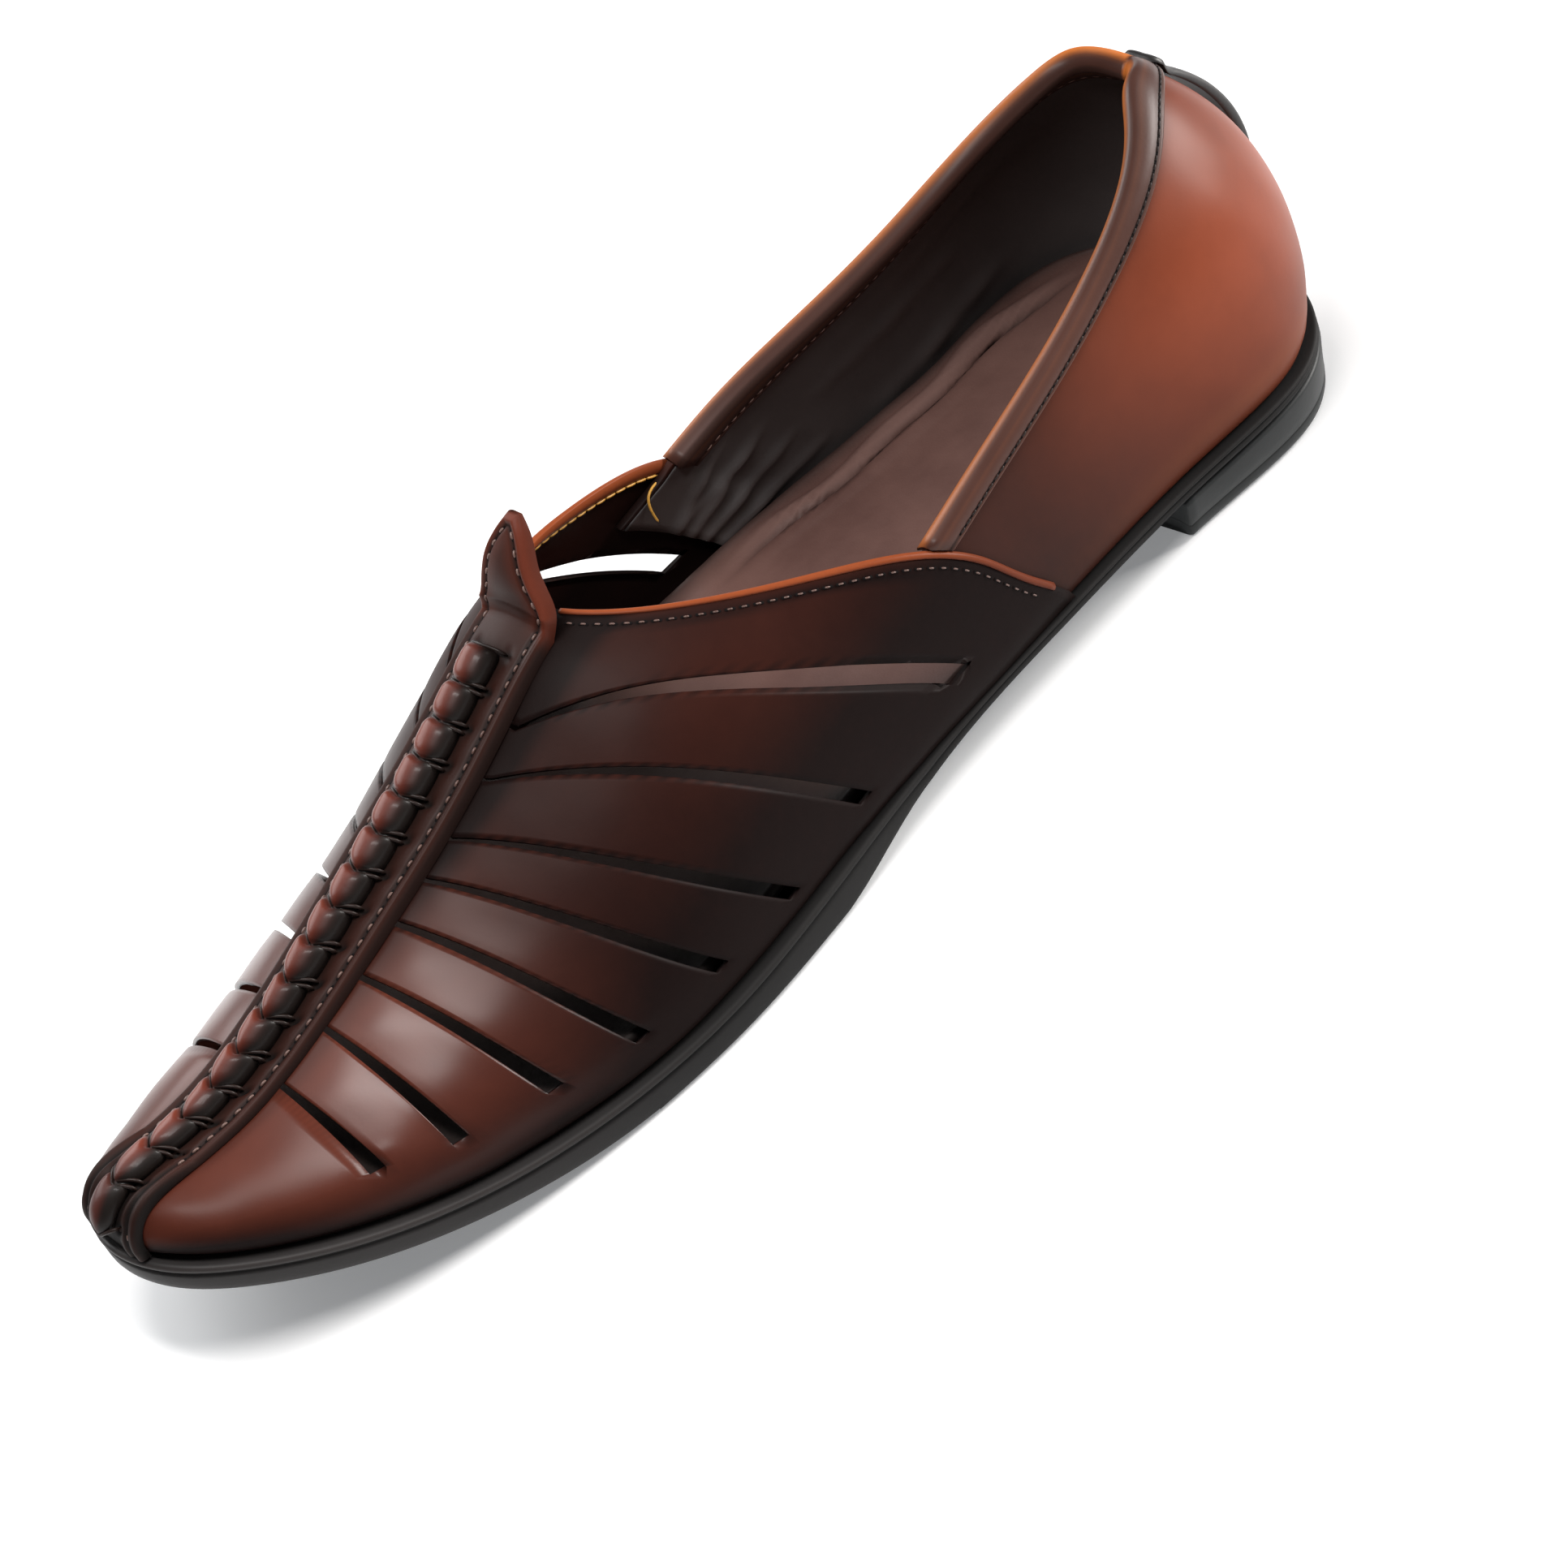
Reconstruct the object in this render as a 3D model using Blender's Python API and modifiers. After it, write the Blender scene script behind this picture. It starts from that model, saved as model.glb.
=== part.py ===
# Leather mojari slip-on, right foot, standing flat on its sole.
# The shoe points along +X, its left (medial) side is +Y, and the floor is z = 0.
# Every table and size below is in millimetres and degrees; MM turns them into metres.

import math

import bmesh
import bpy
import numpy as np

MM = 0.001
CLEARANCE = 0.3  # between pieces that lie on each other

# The last. An angle runs over a cross-section: 0 at the left feather edge, 90 at the crown, 180 at the right.
LENGTH = 290.0
HALF_BULGE = 1.0  # how far the flanks stand out between feather and crown
HEEL_BULGE = 1.8  # how far the back stands out behind x = 0, at its rearmost level
HEEL_TUCK = 5.2  # how far the back is drawn in again at the feather edge
HEEL_RAKE = 6.2  # how far the back leans forward at twice the rearmost level
HEEL_LEVEL = 20.0  # height of the rearmost level above the feather edge
HEEL_REACH = 70.0  # how far from the back all three fade out

SECTION_COLUMNS = ("x", "half_width", "centre", "feather", "crown", "crown_centre", "fullness")
SECTIONS = [
    (0.0, 0.0, 4.5, 13.9, 58.0, 4.2, 2.10),
    (7.0, 21.5, 4.6, 13.7, 58.2, 4.1, 2.10),
    (28.0, 35.8, 4.6, 13.1, 57.6, 3.6, 2.15),
    (60.0, 35.8, 3.3, 12.1, 55.0, 2.4, 2.45),
    (100.0, 38.0, 0.4, 10.8, 53.2, 0.2, 2.50),
    (145.0, 40.0, -1.2, 9.1, 53.0, -2.3, 2.15),
    (170.0, 41.9, -1.4, 8.0, 52.4, -3.5, 1.90),
    (190.0, 43.0, -1.2, 7.2, 45.4, -3.3, 1.73),
    (215.0, 40.8, -0.6, 7.4, 35.6, -2.7, 1.64),
    (240.0, 35.5, -0.2, 10.0, 25.5, -1.9, 1.78),
    (262.0, 28.1, -0.3, 15.2, 15.9, -1.4, 1.9),
    (278.0, 19.0, -0.6, 20.6, 11.3, -1.2, 2.15),
    (285.5, 12.6, -0.8, 23.9, 8.0, -1.1, 2.35),
    (290.0, 0.0, -0.9, 26.2, 0.0, -1.0, 2.35),
]

# The vamp: its top edge, by angle, and its slits, from the strap down to the feather edge.
VAMP_OFFSET = 0.4  # outer face, over the last's own face
VAMP_WALL = 1.8
TOPLINE_COLUMNS = ("angle", "x")
TOPLINE = [(0, 93.6), (8, 101.2), (20, 108.8), (35, 121.8), (50, 140.9), (65, 158.5), (80, 167.7), (90, 170.0)]
SLIT_COLUMNS = ("strap_x", "feather_x", "bow", "end_left", "end_right", "tip_width", "end_width")
SLITS = [
    (188.0, 116.0, 0.09, 6.5, 6.0, 0.6, 7.4),
    (197.3, 147.5, 0.12, 5.0, 4.5, 0.5, 3.2),
    (208.0, 169.5, 0.26, 5.0, 4.0, 0.6, 2.8),
    (215.6, 187.0, 0.30, 9.0, 5.0, 0.8, 2.8),
    (223.8, 206.0, 0.30, 12.0, 7.0, 1.0, 3.0),
    (234.0, 223.0, 0.30, 17.0, 9.5, 1.0, 3.0),
    (244.0, 242.5, 0.30, 21.0, 14.0, 1.0, 3.0),
    (255.4, 256.0, 0.30, 28.0, 20.0, 1.0, 2.8),
]
SLIT_FAN = 75.0  # angle where the slits leave the strap

# The quarters, inside the vamp's wings.
QUARTER_OFFSET = -0.7
QUARTER_WALL = 1.8
COLLAR_COLUMNS = ("x", "height")
COLLAR = [(0, 51.2), (17.4, 54.4), (43.5, 47.8), (72.5, 39.8), (101.5, 33.8), (130.5, 27.0), (159.5, 21.5)]
OUTER_LIFT_COLUMNS = ("x", "lift")  # how much higher the collar is on the outer (right) side
OUTER_LIFT = [(0, 0), (5, 1.7), (15, 0.4), (30, -1.7), (60, -2.2), (85, -0.9), (104, 0), (115, 0), (130, 0), (160, 0)]
QUARTER_FRONT = (106.0, 132.0)  # x of the front end, at the feather edge and at the top

# The binding over the quarters' top edge: depth of its legs, thickness and roll.
BINDING_GAP = 0.4
BINDING_INNER_GAP = 0.8
BINDING_THICKNESS = 1.0
BINDING_OUTER_DEPTH = 4.0
BINDING_INNER_DEPTH = 5.0
BINDING_ROLL = 1.2

BACK_STRIP_HALF_WIDTH = 3.3
BACK_STRIP_THICKNESS = 1.0

# The strap over the ridge, the tab that it ends in, and the braid on it.
STRAP_COLUMNS = ("x", "half_width", "thickness")
STRAP = [
    (160, 8.7, 2.2),
    (170, 8.6, 2.4),
    (186, 8.7, 2.8),
    (205, 8.9, 2.8),
    (225, 8.7, 2.6),
    (245, 8.6, 1.8),
    (265, 8.0, 1.2),
    (290, 8.0, 0.9),
]
LOBE_HEIGHT = 0.8  # the side bands swell at the toe end
LOBE_LENGTH = 0.07  # share of the strap that the lobes take
TAB_COLUMNS = ("x", "z", "half_width", "thickness", "sideways")
TAB = [
    (171.7, 64.0, 9.3, 2.3, 0.3),
    (171.0, 67.4, 8.1, 2.3, 0.1),
    (169.6, 70.8, 6.4, 2.3, -0.1),
    (167.6, 73.7, 4.9, 2.2, 0.3),
    (166.0, 76.2, 3.3, 1.9, 0.8),
    (164.9, 78.3, 1.5, 1.4, 1.1),
]
BRAID_LOZENGES = 16
BRAID_START = 6.6  # from the strap's first ring, along its middle
BRAID_END = 2.0  # from its last one
BRAID_GAP = 0.4
BRAID_HALF_WIDTH = 3.0
BRAID_HEIGHT = 3.3
BRAID_TOE_HEIGHT = 0.55  # share of the height left at the toe
BRAID_WAIST = 0.74  # share of width and height left between two lozenges

# The outsole, heel block and insole.
SOLE_COLUMNS = ("x", "thickness", "edge")
SOLE = [
    (0.0, 2.6, 0.6),
    (30.0, 3.0, 0.8),
    (68.0, 3.2, 0.6),
    (100.0, 2.9, 0.3),
    (125.0, 3.2, 0.3),
    (145.0, 5.2, 0.9),
    (162.0, 8.0, 1.8),
    (190.0, 7.2, 2.2),
    (215.0, 7.2, 2.2),
    (240.0, 6.8, 2.2),
    (265.0, 6.6, 2.2),
    (290.0, 6.6, 2.2),
]
TREAD_FLAT = (166.0, 214.0)  # the forefoot's flat stretch on the floor
SOLE_PROFILE = [(0.0, -0.7), (-0.7, 0.0), (-1.3, 0.0), (-1.8, -0.6), (-2.3, -0.1)]  # (drop, edge) of the side
HEEL_BREAST = 63.5
HEEL_TAPER = 1.2
INSOLE_THICKNESS = 2.6
INSOLE_INSET = 3.2
INSOLE_TOE_INSET = 6.0

ORIGIN_X = 145.57
ORIGIN_Y = -1.17

LEATHER = ("brown_leather", (0.100, 0.028, 0.018), 0.32)
BLACK_LEATHER = ("black_leather", (0.010, 0.009, 0.009), 0.40)
SOLE_RUBBER = ("sole_rubber", (0.018, 0.016, 0.016), 0.45)
SOCK_LEATHER = ("sock_leather", (0.130, 0.070, 0.060), 0.55)


def natural_spline(knots, values):
    """A smooth curve through the values, as a function of the knots' axis."""
    knots = np.array(knots, float)
    values = np.array(values, float)
    span = np.diff(knots)
    count = len(knots)
    system = np.eye(count)
    right = np.zeros(count)
    for i in range(1, count - 1):
        system[i, i - 1 : i + 2] = span[i - 1], 2 * (span[i - 1] + span[i]), span[i]
        right[i] = 6 * ((values[i + 1] - values[i]) / span[i] - (values[i] - values[i - 1]) / span[i - 1])
    bend = np.linalg.solve(system, right)

    def at(place):
        place = np.asarray(place, float)
        i = np.clip(np.searchsorted(knots, place) - 1, 0, count - 2)
        before, after, width = place - knots[i], knots[i + 1] - place, span[i]
        cubic = (bend[i] * after**3 + bend[i + 1] * before**3) / (6 * width)
        start = (values[i] / width - bend[i] * width / 6) * after
        return cubic + start + (values[i + 1] / width - bend[i + 1] * width / 6) * before

    return at


def station(x):
    """The share of the way along the last, 0 at the back and 1 at the toe, close together at both round ends."""
    return np.arccos(np.clip(1 - 2 * np.asarray(x, float) / LENGTH, -1, 1)) / math.pi


def distance(t):
    return LENGTH / 2 * (1 - np.cos(math.pi * np.asarray(t, float)))


def columns(names, rows, key):
    """One smooth function of the key column for each other column of a table."""
    table = dict(zip(names, zip(*rows)))
    keys = table.pop(key)
    knots = station(keys) if key == "x" else keys
    return {name: natural_spline(knots, values) for name, values in table.items()}


SHAPE = columns(SECTION_COLUMNS, SECTIONS, "x")
COLLAR_HEIGHT = columns(COLLAR_COLUMNS, COLLAR, "x")["height"]
OUTER_COLLAR_LIFT = columns(OUTER_LIFT_COLUMNS, OUTER_LIFT, "x")["lift"]
TOPLINE_X = columns(TOPLINE_COLUMNS, TOPLINE, "angle")["x"]
STRAP_SHAPE = columns(STRAP_COLUMNS, STRAP, "x")
SOLE_SHAPE = columns(SOLE_COLUMNS, SOLE, "x")


def face_point(t, angle):
    """A point on the last's face."""
    t, angle = np.broadcast_arrays(np.asarray(t, float), np.clip(np.asarray(angle, float), 0, 180))
    side = np.cos(np.radians(angle))
    up = np.maximum(np.sin(np.radians(angle)), 0)
    power = 2 / SHAPE["fullness"](t)
    rise, reach = up**power, np.abs(side) ** power
    half = np.maximum(SHAPE["half_width"](t), 0)
    bulge = HALF_BULGE * 2 * up * np.abs(side) * np.minimum(1, 1.5 * np.sin(math.pi * t))
    middle = SHAPE["centre"](t) * (1 - rise) + SHAPE["crown_centre"](t) * rise
    y = middle + np.sign(side) * (half * reach + bulge)
    height = np.maximum(SHAPE["crown"](t), 0) * rise
    level = height / HEEL_LEVEL - 1
    shift = np.where(level < 0, HEEL_TUCK, HEEL_RAKE) * level**2 - HEEL_BULGE
    x = distance(t)
    x = x + shift * np.clip(1 - x / HEEL_REACH, 0, 1) ** 2
    return np.stack([x, y, SHAPE["feather"](t) + height], -1)


def face_normal(t, angle):
    """The outward direction there. At the two ends it is the mean of both sides."""
    t, angle = np.broadcast_arrays(np.asarray(t, float), np.asarray(angle, float))
    inner = np.clip(t, 0.006, 0.994)

    def one_side(around):
        along = face_point(inner + 0.003, around) - face_point(inner - 0.003, around)
        over = face_point(inner, around + 1.0) - face_point(inner, around - 1.0)
        normal = np.cross(over, along)
        return normal / np.linalg.norm(normal, axis=-1, keepdims=True)

    normal = one_side(angle)
    ends = (t < 1e-6) | (t > 1 - 1e-6)
    mean = normal + one_side(180 - angle)
    normal = np.where(ends[..., None], mean, normal)
    return normal / np.linalg.norm(normal, axis=-1, keepdims=True)


def last_point(t, angle, offset=0.0):
    return face_point(t, angle) + face_normal(t, angle) * np.asarray(offset, float)[..., None]


def angle_at_height(t, height):
    """The left angle at which the face stands this high above the feather edge."""
    share = np.clip(height / np.maximum(SHAPE["crown"](t), 1e-6), 0, 1)
    return np.degrees(np.arcsin(share ** (SHAPE["fullness"](t) / 2)))


def halve(test, low, high):
    """Where test turns from true to false between low and high, for whole arrays at once."""
    for _ in range(40):
        middle = (low + high) / 2
        keep = test(middle)
        low, high = np.where(keep, middle, low), np.where(keep, high, middle)
    return (low + high) / 2


def angle_beside_crown(t, aside):
    """The angle whose point lies this far to the left of the crown's line."""
    t, aside = np.broadcast_arrays(np.asarray(t, float), np.asarray(aside, float))
    middle = SHAPE["crown_centre"](t)

    def further_left(angle):
        return face_point(t, angle)[..., 1] - middle > aside

    return halve(further_left, np.zeros(t.shape), np.full(t.shape, 180.0))


def guide_station(guide, angle):
    """How far along the last a line across the vamp lies: 0 is the top edge, 1 to 8 the slits, 9 the toe."""
    aside = np.minimum(angle, 180 - angle)
    if guide == 0:
        return station(TOPLINE_X(aside))
    if guide > len(SLITS):
        return np.ones_like(aside)
    strap_x, feather_x, bow = SLITS[guide - 1][:3]
    share = np.clip((SLIT_FAN - aside) / SLIT_FAN, 0, 1)
    return station(strap_x - (strap_x - feather_x) * (share + bow * share * (share - 1)))


def line_station(line, angle):
    """guide_station for a line between two guides."""
    before = int(min(math.floor(line), len(SLITS)))
    share = line - before
    return guide_station(before, angle) * (1 - share) + guide_station(before + 1, angle) * share


def mesh_object(name, points, faces, finish, target):
    """An object from points in millimetres, with doubles merged and faces turned outwards."""
    mesh = bpy.data.meshes.new(name)
    placed = (np.asarray(points, float) - (ORIGIN_X, ORIGIN_Y, 0)) * MM
    mesh.from_pydata(placed.tolist(), [], faces)
    work = bmesh.new()
    work.from_mesh(mesh)
    bmesh.ops.remove_doubles(work, verts=work.verts, dist=0.002 * MM)
    bmesh.ops.recalc_face_normals(work, faces=work.faces)
    work.to_mesh(mesh)
    work.free()
    mesh.shade_smooth()
    mesh.set_sharp_from_angle(angle=math.radians(35))
    made = bpy.data.objects.new(name, mesh)
    made.data.materials.append(material(*finish))
    target.objects.link(made)
    return made


def material(name, color, roughness):
    found = bpy.data.materials.get(name)
    if found:
        return found
    made = bpy.data.materials.new(name)
    made.use_nodes = True
    shader = made.node_tree.nodes["Principled BSDF"]
    shader.inputs["Base Color"].default_value = (*color, 1)
    shader.inputs["Roughness"].default_value = roughness
    shader.inputs["Metallic"].default_value = 0.0
    return made


def grid_faces(rows, count, closed=False, skip=lambda row, column: False):
    """Quads over rows of count points each."""
    faces = []
    for row in range(rows - 1):
        for column in range(count if closed else count - 1):
            if skip(row, column):
                continue
            following = (column + 1) % count
            corners = (row * count + column, row * count + following)
            faces.append((*corners, corners[1] + count, corners[0] + count))
    return faces


def loft(name, rings, finish, target):
    """A closed solid through rings of equal count, with both ends capped."""
    rings = np.asarray(rings, float)
    rows, count = rings.shape[:2]
    faces = grid_faces(rows, count, closed=True)
    faces.append(tuple(range(count)))
    faces.append(tuple(range((rows - 1) * count, rows * count)))
    return mesh_object(name, rings.reshape(-1, 3), faces, finish, target)


def solidify(made, wall):
    """Gives an open outer surface its wall, inwards."""
    modifier = made.modifiers.new("wall", "SOLIDIFY")
    modifier.thickness = wall * MM
    modifier.offset = -1
    modifier.thickness_clamp = 0
    modifier.use_even_offset = False


def vamp_lines():
    """(line, slit, side of the slit) for every line across the vamp, top edge first."""
    lines = [(0.0, None, 0), (0.25, None, 0), (0.5, None, 0), (0.75, None, 0)]
    for slit in range(1, len(SLITS) + 1):
        lines += [(float(slit), slit, -1), (float(slit), slit, 1)]
        if slit < len(SLITS):
            lines.append((slit + 0.5, None, 0))
    last_slit = len(SLITS)
    lines += [(last_slit + share, None, 0) for share in (0.2, 0.4, 0.58, 0.74, 0.87, 0.95, 1.0)]
    return lines


FAN_STEPS = 6  # cells along a slit
BAND_STEPS = 2  # cells between a slit's end and the feather edge
CROWN_STEPS = 2  # cells from the strap's edge to the crown


def vamp_angles(line):
    """The angles of a line's points over the left side, up to the crown, then over the right side."""
    ends_left = [7.0] + [row[3] for row in SLITS] + [34.0]
    ends_right = [7.0] + [row[4] for row in SLITS] + [34.0]
    guides = range(len(ends_left))
    t = line_station(line, np.array([SLIT_FAN]))[0]
    aside = STRAP_SHAPE["half_width"](t) - 1.2
    sides = []
    for ends, sign in ((ends_left, 1), (ends_right, -1)):
        end = float(np.interp(line, guides, ends))
        tip = float(angle_beside_crown(t, sign * aside))
        tip = tip if sign > 0 else 180 - tip
        tip = max(tip, end + 12.0)
        band = [end * step / BAND_STEPS for step in range(BAND_STEPS)]
        fan = [end + (tip - end) * step / FAN_STEPS for step in range(FAN_STEPS)]
        crown = [tip + (90 - tip) * step / CROWN_STEPS for step in range(CROWN_STEPS)]
        sides.append(band + fan + crown)
    left, right = sides
    return np.array(left + [90.0] + [180 - angle for angle in reversed(right)])


def slit_half_width(slit, share):
    """Half of a slit's width, at this share of the way from the strap to its end."""
    tip_width, end_width = SLITS[slit - 1][5:]
    share = min(share, 1.0)
    return 0.0 if share < 0 else (tip_width * (1 - share) + end_width * share) / 2


def build_vamp(target):
    """The forepart: one sheet over the last with its slits left out, then given its wall."""
    side_count = BAND_STEPS + FAN_STEPS + CROWN_STEPS
    count = 2 * side_count + 1
    lines = vamp_lines()
    points = []
    for line, slit, edge in lines:
        angles = vamp_angles(line)
        t = line_station(line, angles)
        if slit:
            for column in range(count):
                from_side = min(column, count - 1 - column)
                share = (BAND_STEPS + FAN_STEPS - from_side) / FAN_STEPS
                half = slit_half_width(slit, share)
                slope = distance(t[column] + 0.001) - distance(t[column] - 0.001)
                t[column] += edge * half * 0.002 / slope
        points.append(last_point(t, angles, np.full(count, VAMP_OFFSET)))

    def in_slit(row, column):
        if not (lines[row][1] and lines[row][1] == lines[row + 1][1]):
            return False
        from_side = min(column, 2 * side_count - 1 - column)
        return BAND_STEPS <= from_side < BAND_STEPS + FAN_STEPS

    faces = grid_faces(len(lines), count, skip=in_slit)
    vamp = mesh_object("vamp_sheet", np.concatenate(points), faces, LEATHER, target)
    solidify(vamp, VAMP_WALL)
    return vamp


QUARTER_STEPS = 17  # columns from the back seam to the front end, on each side
QUARTER_ROWS = 7


def around_heel(steps):
    """(side, share) of each column from the left front end round the heel to the right one."""
    shares = [step / steps for step in range(steps + 1)]
    return [(1, share) for share in reversed(shares)] + [(-1, share) for share in shares[1:]]


def side_point(side, t, angle, offset):
    """last_point on the left side, or its twin angle on the right."""
    return last_point(t, angle if side > 0 else 180 - angle, offset)


def collar_lift(side, t, share):
    """The outer side's extra collar height, for points this share of the way up the quarter."""
    lift = np.zeros((len(t), 3))
    if side < 0:
        lift[:, 2] = OUTER_COLLAR_LIFT(t) * np.maximum(share, 0) ** 3
    return lift


def build_quarters(target):
    """The hollow rear: one sheet round the heel from wing to wing, open above."""
    front = station(np.array(QUARTER_FRONT))
    points = []
    for side, share in around_heel(QUARTER_STEPS):
        rise = np.linspace(0, 1, QUARTER_ROWS + 1)
        t = share * (front[0] * (1 - rise) + front[1] * rise)
        angle = angle_at_height(t, COLLAR_HEIGHT(t) * rise)
        wall = side_point(side, t, angle, np.full(len(t), QUARTER_OFFSET))
        points.append(wall + collar_lift(side, t, rise))
    faces = grid_faces(len(points), QUARTER_ROWS + 1)
    quarters = mesh_object("quarter_sheet", np.concatenate(points), faces, LEATHER, target)
    solidify(quarters, QUARTER_WALL)
    return quarters


def build_upper(target, helpers):
    """Vamp and quarters are one hollow solid: the vamp's wings stand a step proud of the quarters."""
    upper = build_vamp(target)
    upper.name = "upper"
    quarters = build_quarters(helpers)
    quarters.hide_render = True
    quarters.display_type = "WIRE"
    join = upper.modifiers.new("quarters", "BOOLEAN")
    join.operation = "UNION"
    join.solver = "EXACT"
    join.object = quarters
    return upper


def topline_station_at(height):
    """Where the vamp's top edge, on its way down the side, is this high above the feather edge."""

    def below(angle):
        t = station(TOPLINE_X(angle))
        share = np.sin(np.radians(angle)) ** (2 / SHAPE["fullness"](t))
        return SHAPE["crown"](t) * share < height

    angle = halve(below, np.zeros_like(height), np.full_like(height, 85.0))
    return station(TOPLINE_X(angle))


def binding_front(depth):
    """The station where the binding meets the vamp's edge, for a point this deep below the collar's edge."""
    depth = np.maximum(np.asarray(depth, float), 0)
    t = np.full(depth.shape, station(118.0))
    for _ in range(12):
        t = topline_station_at(COLLAR_HEIGHT(t) - depth)
    return station(distance(t) - 1.2)


def build_binding(target):
    """A folded band that straddles the quarters' top edge, cut off along the vamp's edges."""
    outer = QUARTER_OFFSET + BINDING_GAP
    inner = QUARTER_OFFSET - QUARTER_WALL - BINDING_INNER_GAP
    thick = BINDING_THICKNESS
    middle = (outer + inner) / 2
    half = (outer - inner) / 2 + thick
    profile = [(outer, BINDING_OUTER_DEPTH), (outer + thick, BINDING_OUTER_DEPTH), (outer + thick, 2.6)]
    for turn in range(0, 181, 36):
        roll = math.radians(turn)
        profile.append((middle + half * math.cos(roll), -BINDING_ROLL * math.sin(roll) + 0.4))
    profile += [(inner - thick, BINDING_INNER_DEPTH), (inner, BINDING_INNER_DEPTH)]
    profile += [(inner, -BINDING_GAP), (outer, -BINDING_GAP)]
    offset, depth = np.array(profile).T
    ends = binding_front(depth)
    rings = []
    for side, share in around_heel(QUARTER_STEPS + 3):
        t = share * ends
        height = COLLAR_HEIGHT(t)
        sunk = np.maximum(depth, 0)
        base = side_point(side, t, angle_at_height(t, height - sunk), offset)
        upward = up_the_wall(side, t, height)
        rings.append(base + upward * np.maximum(-depth, 0)[:, None] + collar_lift(side, t, 1 - depth / height))
    return loft("collar_binding", rings, LEATHER, target)


def up_the_wall(side, t, height):
    """The direction up the quarter's wall at its top edge."""
    low = side_point(side, t, angle_at_height(t, height - 2.0), np.zeros_like(t))
    high = side_point(side, t, angle_at_height(t, height), np.zeros_like(t))
    step = high - low
    return step / np.linalg.norm(step, axis=-1, keepdims=True)


def build_back_strip(target):
    """A narrow strip over the heel seam, from the sole to the binding."""
    low, high = QUARTER_OFFSET + CLEARANCE, QUARTER_OFFSET + CLEARANCE + BACK_STRIP_THICKNESS
    across = np.array([-1, -0.5, 0, 0.5, 1.0])
    rings = []
    top = COLLAR_HEIGHT(0.0) - BINDING_OUTER_DEPTH - 0.6
    for height in np.linspace(0.6, top, 10):
        angle = angle_at_height(np.zeros(5), np.full(5, height))
        reach = np.cos(np.radians(angle)) ** (2 / SHAPE["fullness"](0.0))
        slope = SHAPE["half_width"](0.01) / 0.01
        t = np.abs(across) * BACK_STRIP_HALF_WIDTH / (reach * slope)
        full_angle = np.where(across < 0, 180 - angle, angle)
        lift = collar_lift(-1, t, height / COLLAR_HEIGHT(t)) * (across < 0)[:, None]
        inner = last_point(t, full_angle, np.full(5, low)) + lift
        outer = last_point(t, full_angle, np.full(5, high)) + lift
        rings.append(np.concatenate([inner, outer[::-1]]))
    return loft("back_strip", rings, BLACK_LEATHER, target)


STRAP_ACROSS = np.array([-1, -0.67, -0.34, 0, 0.34, 0.67, 1.0])
STRAP_STATIONS = 26


def strap_grid(share, across):
    """(t, angle) of points on the strap: share 0 is the vamp's top edge, 1 the feather edge at the toe."""
    share, across = np.broadcast_arrays(np.asarray(share, float), np.asarray(across, float))
    start = float(station(173.5))
    aside = across * STRAP_SHAPE["half_width"](1.0)

    def wide_enough(t):
        edge = np.where(aside >= 0, 0.0, 180.0)
        reach = np.abs(face_point(t, edge)[..., 1] - SHAPE["crown_centre"](t))
        return reach > np.abs(aside)

    end = halve(wide_enough, np.full(share.shape, 0.8), np.ones(share.shape))
    t = start + (end - start) * share
    angle = angle_beside_crown(t, across * STRAP_SHAPE["half_width"](t))
    at_end = share > 1 - 1e-6
    angle = np.where(at_end & (aside > 0), 0.0, np.where(at_end & (aside < 0), 180.0, angle))
    return t, angle


def strap_shares(count):
    """Stations along the strap, closer together over the toe."""
    return 1 - np.linspace(1, 0, count) ** 1.25


def lobe(share, across):
    """How much the side bands swell at the toe end."""
    near_end = np.clip((share - 1 + LOBE_LENGTH) / LOBE_LENGTH, 0, 1)
    return LOBE_HEIGHT * np.sin(math.pi * np.minimum(near_end, 0.85)) * np.abs(across)


def build_strap(target):
    """The strap and its tab, in one piece from the tab's point to the toe."""
    inner_offset = VAMP_OFFSET + CLEARANCE
    count = len(STRAP_ACROSS)
    rings = []
    for share in strap_shares(STRAP_STATIONS):
        t, angle = strap_grid(share, STRAP_ACROSS)
        swell = lobe(share, STRAP_ACROSS)
        inner = last_point(t, angle, np.full(count, inner_offset))
        outer = last_point(t, angle, inner_offset + STRAP_SHAPE["thickness"](t) + swell)
        if share > 1 - 1e-6:
            inner[:, 2] += CLEARANCE
            outer[:, 2] += CLEARANCE
        rings.append(np.concatenate([inner, outer[::-1]]))
    return loft("centre_strap", tab_rings(rings[0]) + rings, LEATHER, target)


def tab_rings(first):
    """Rings from the tab's point down to the strap's first ring, whose arched section they flatten."""
    count = len(STRAP_ACROSS)
    inner = first[:count]
    base = inner[count // 2]
    arch = inner - base
    arch[:, 1] = 0
    centre_y = base[1]
    path = [(base[0], base[2])] + [(row[0], row[1]) for row in TAB]
    rings = []
    for index, (x, z, half_width, thickness, sideways) in enumerate(TAB, start=1):
        before, after = path[index - 1], path[min(index + 1, len(path) - 1)]
        run, climb = after[0] - before[0], after[1] - before[1]
        size = math.hypot(run, climb)
        forward = np.array([climb / size, 0, -run / size])
        fade = 1 - index / len(TAB)
        middle = np.array([x, centre_y + sideways, z])
        back = middle + arch * fade + np.outer(STRAP_ACROSS * half_width, (0, 1, 0))
        rings.append(np.concatenate([back, (back + forward * thickness)[::-1]]))
    return rings[::-1]


BRAID_STEPS = 5  # rings to a lozenge
BRAID_ARC = np.linspace(0, 180, 7)


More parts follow.
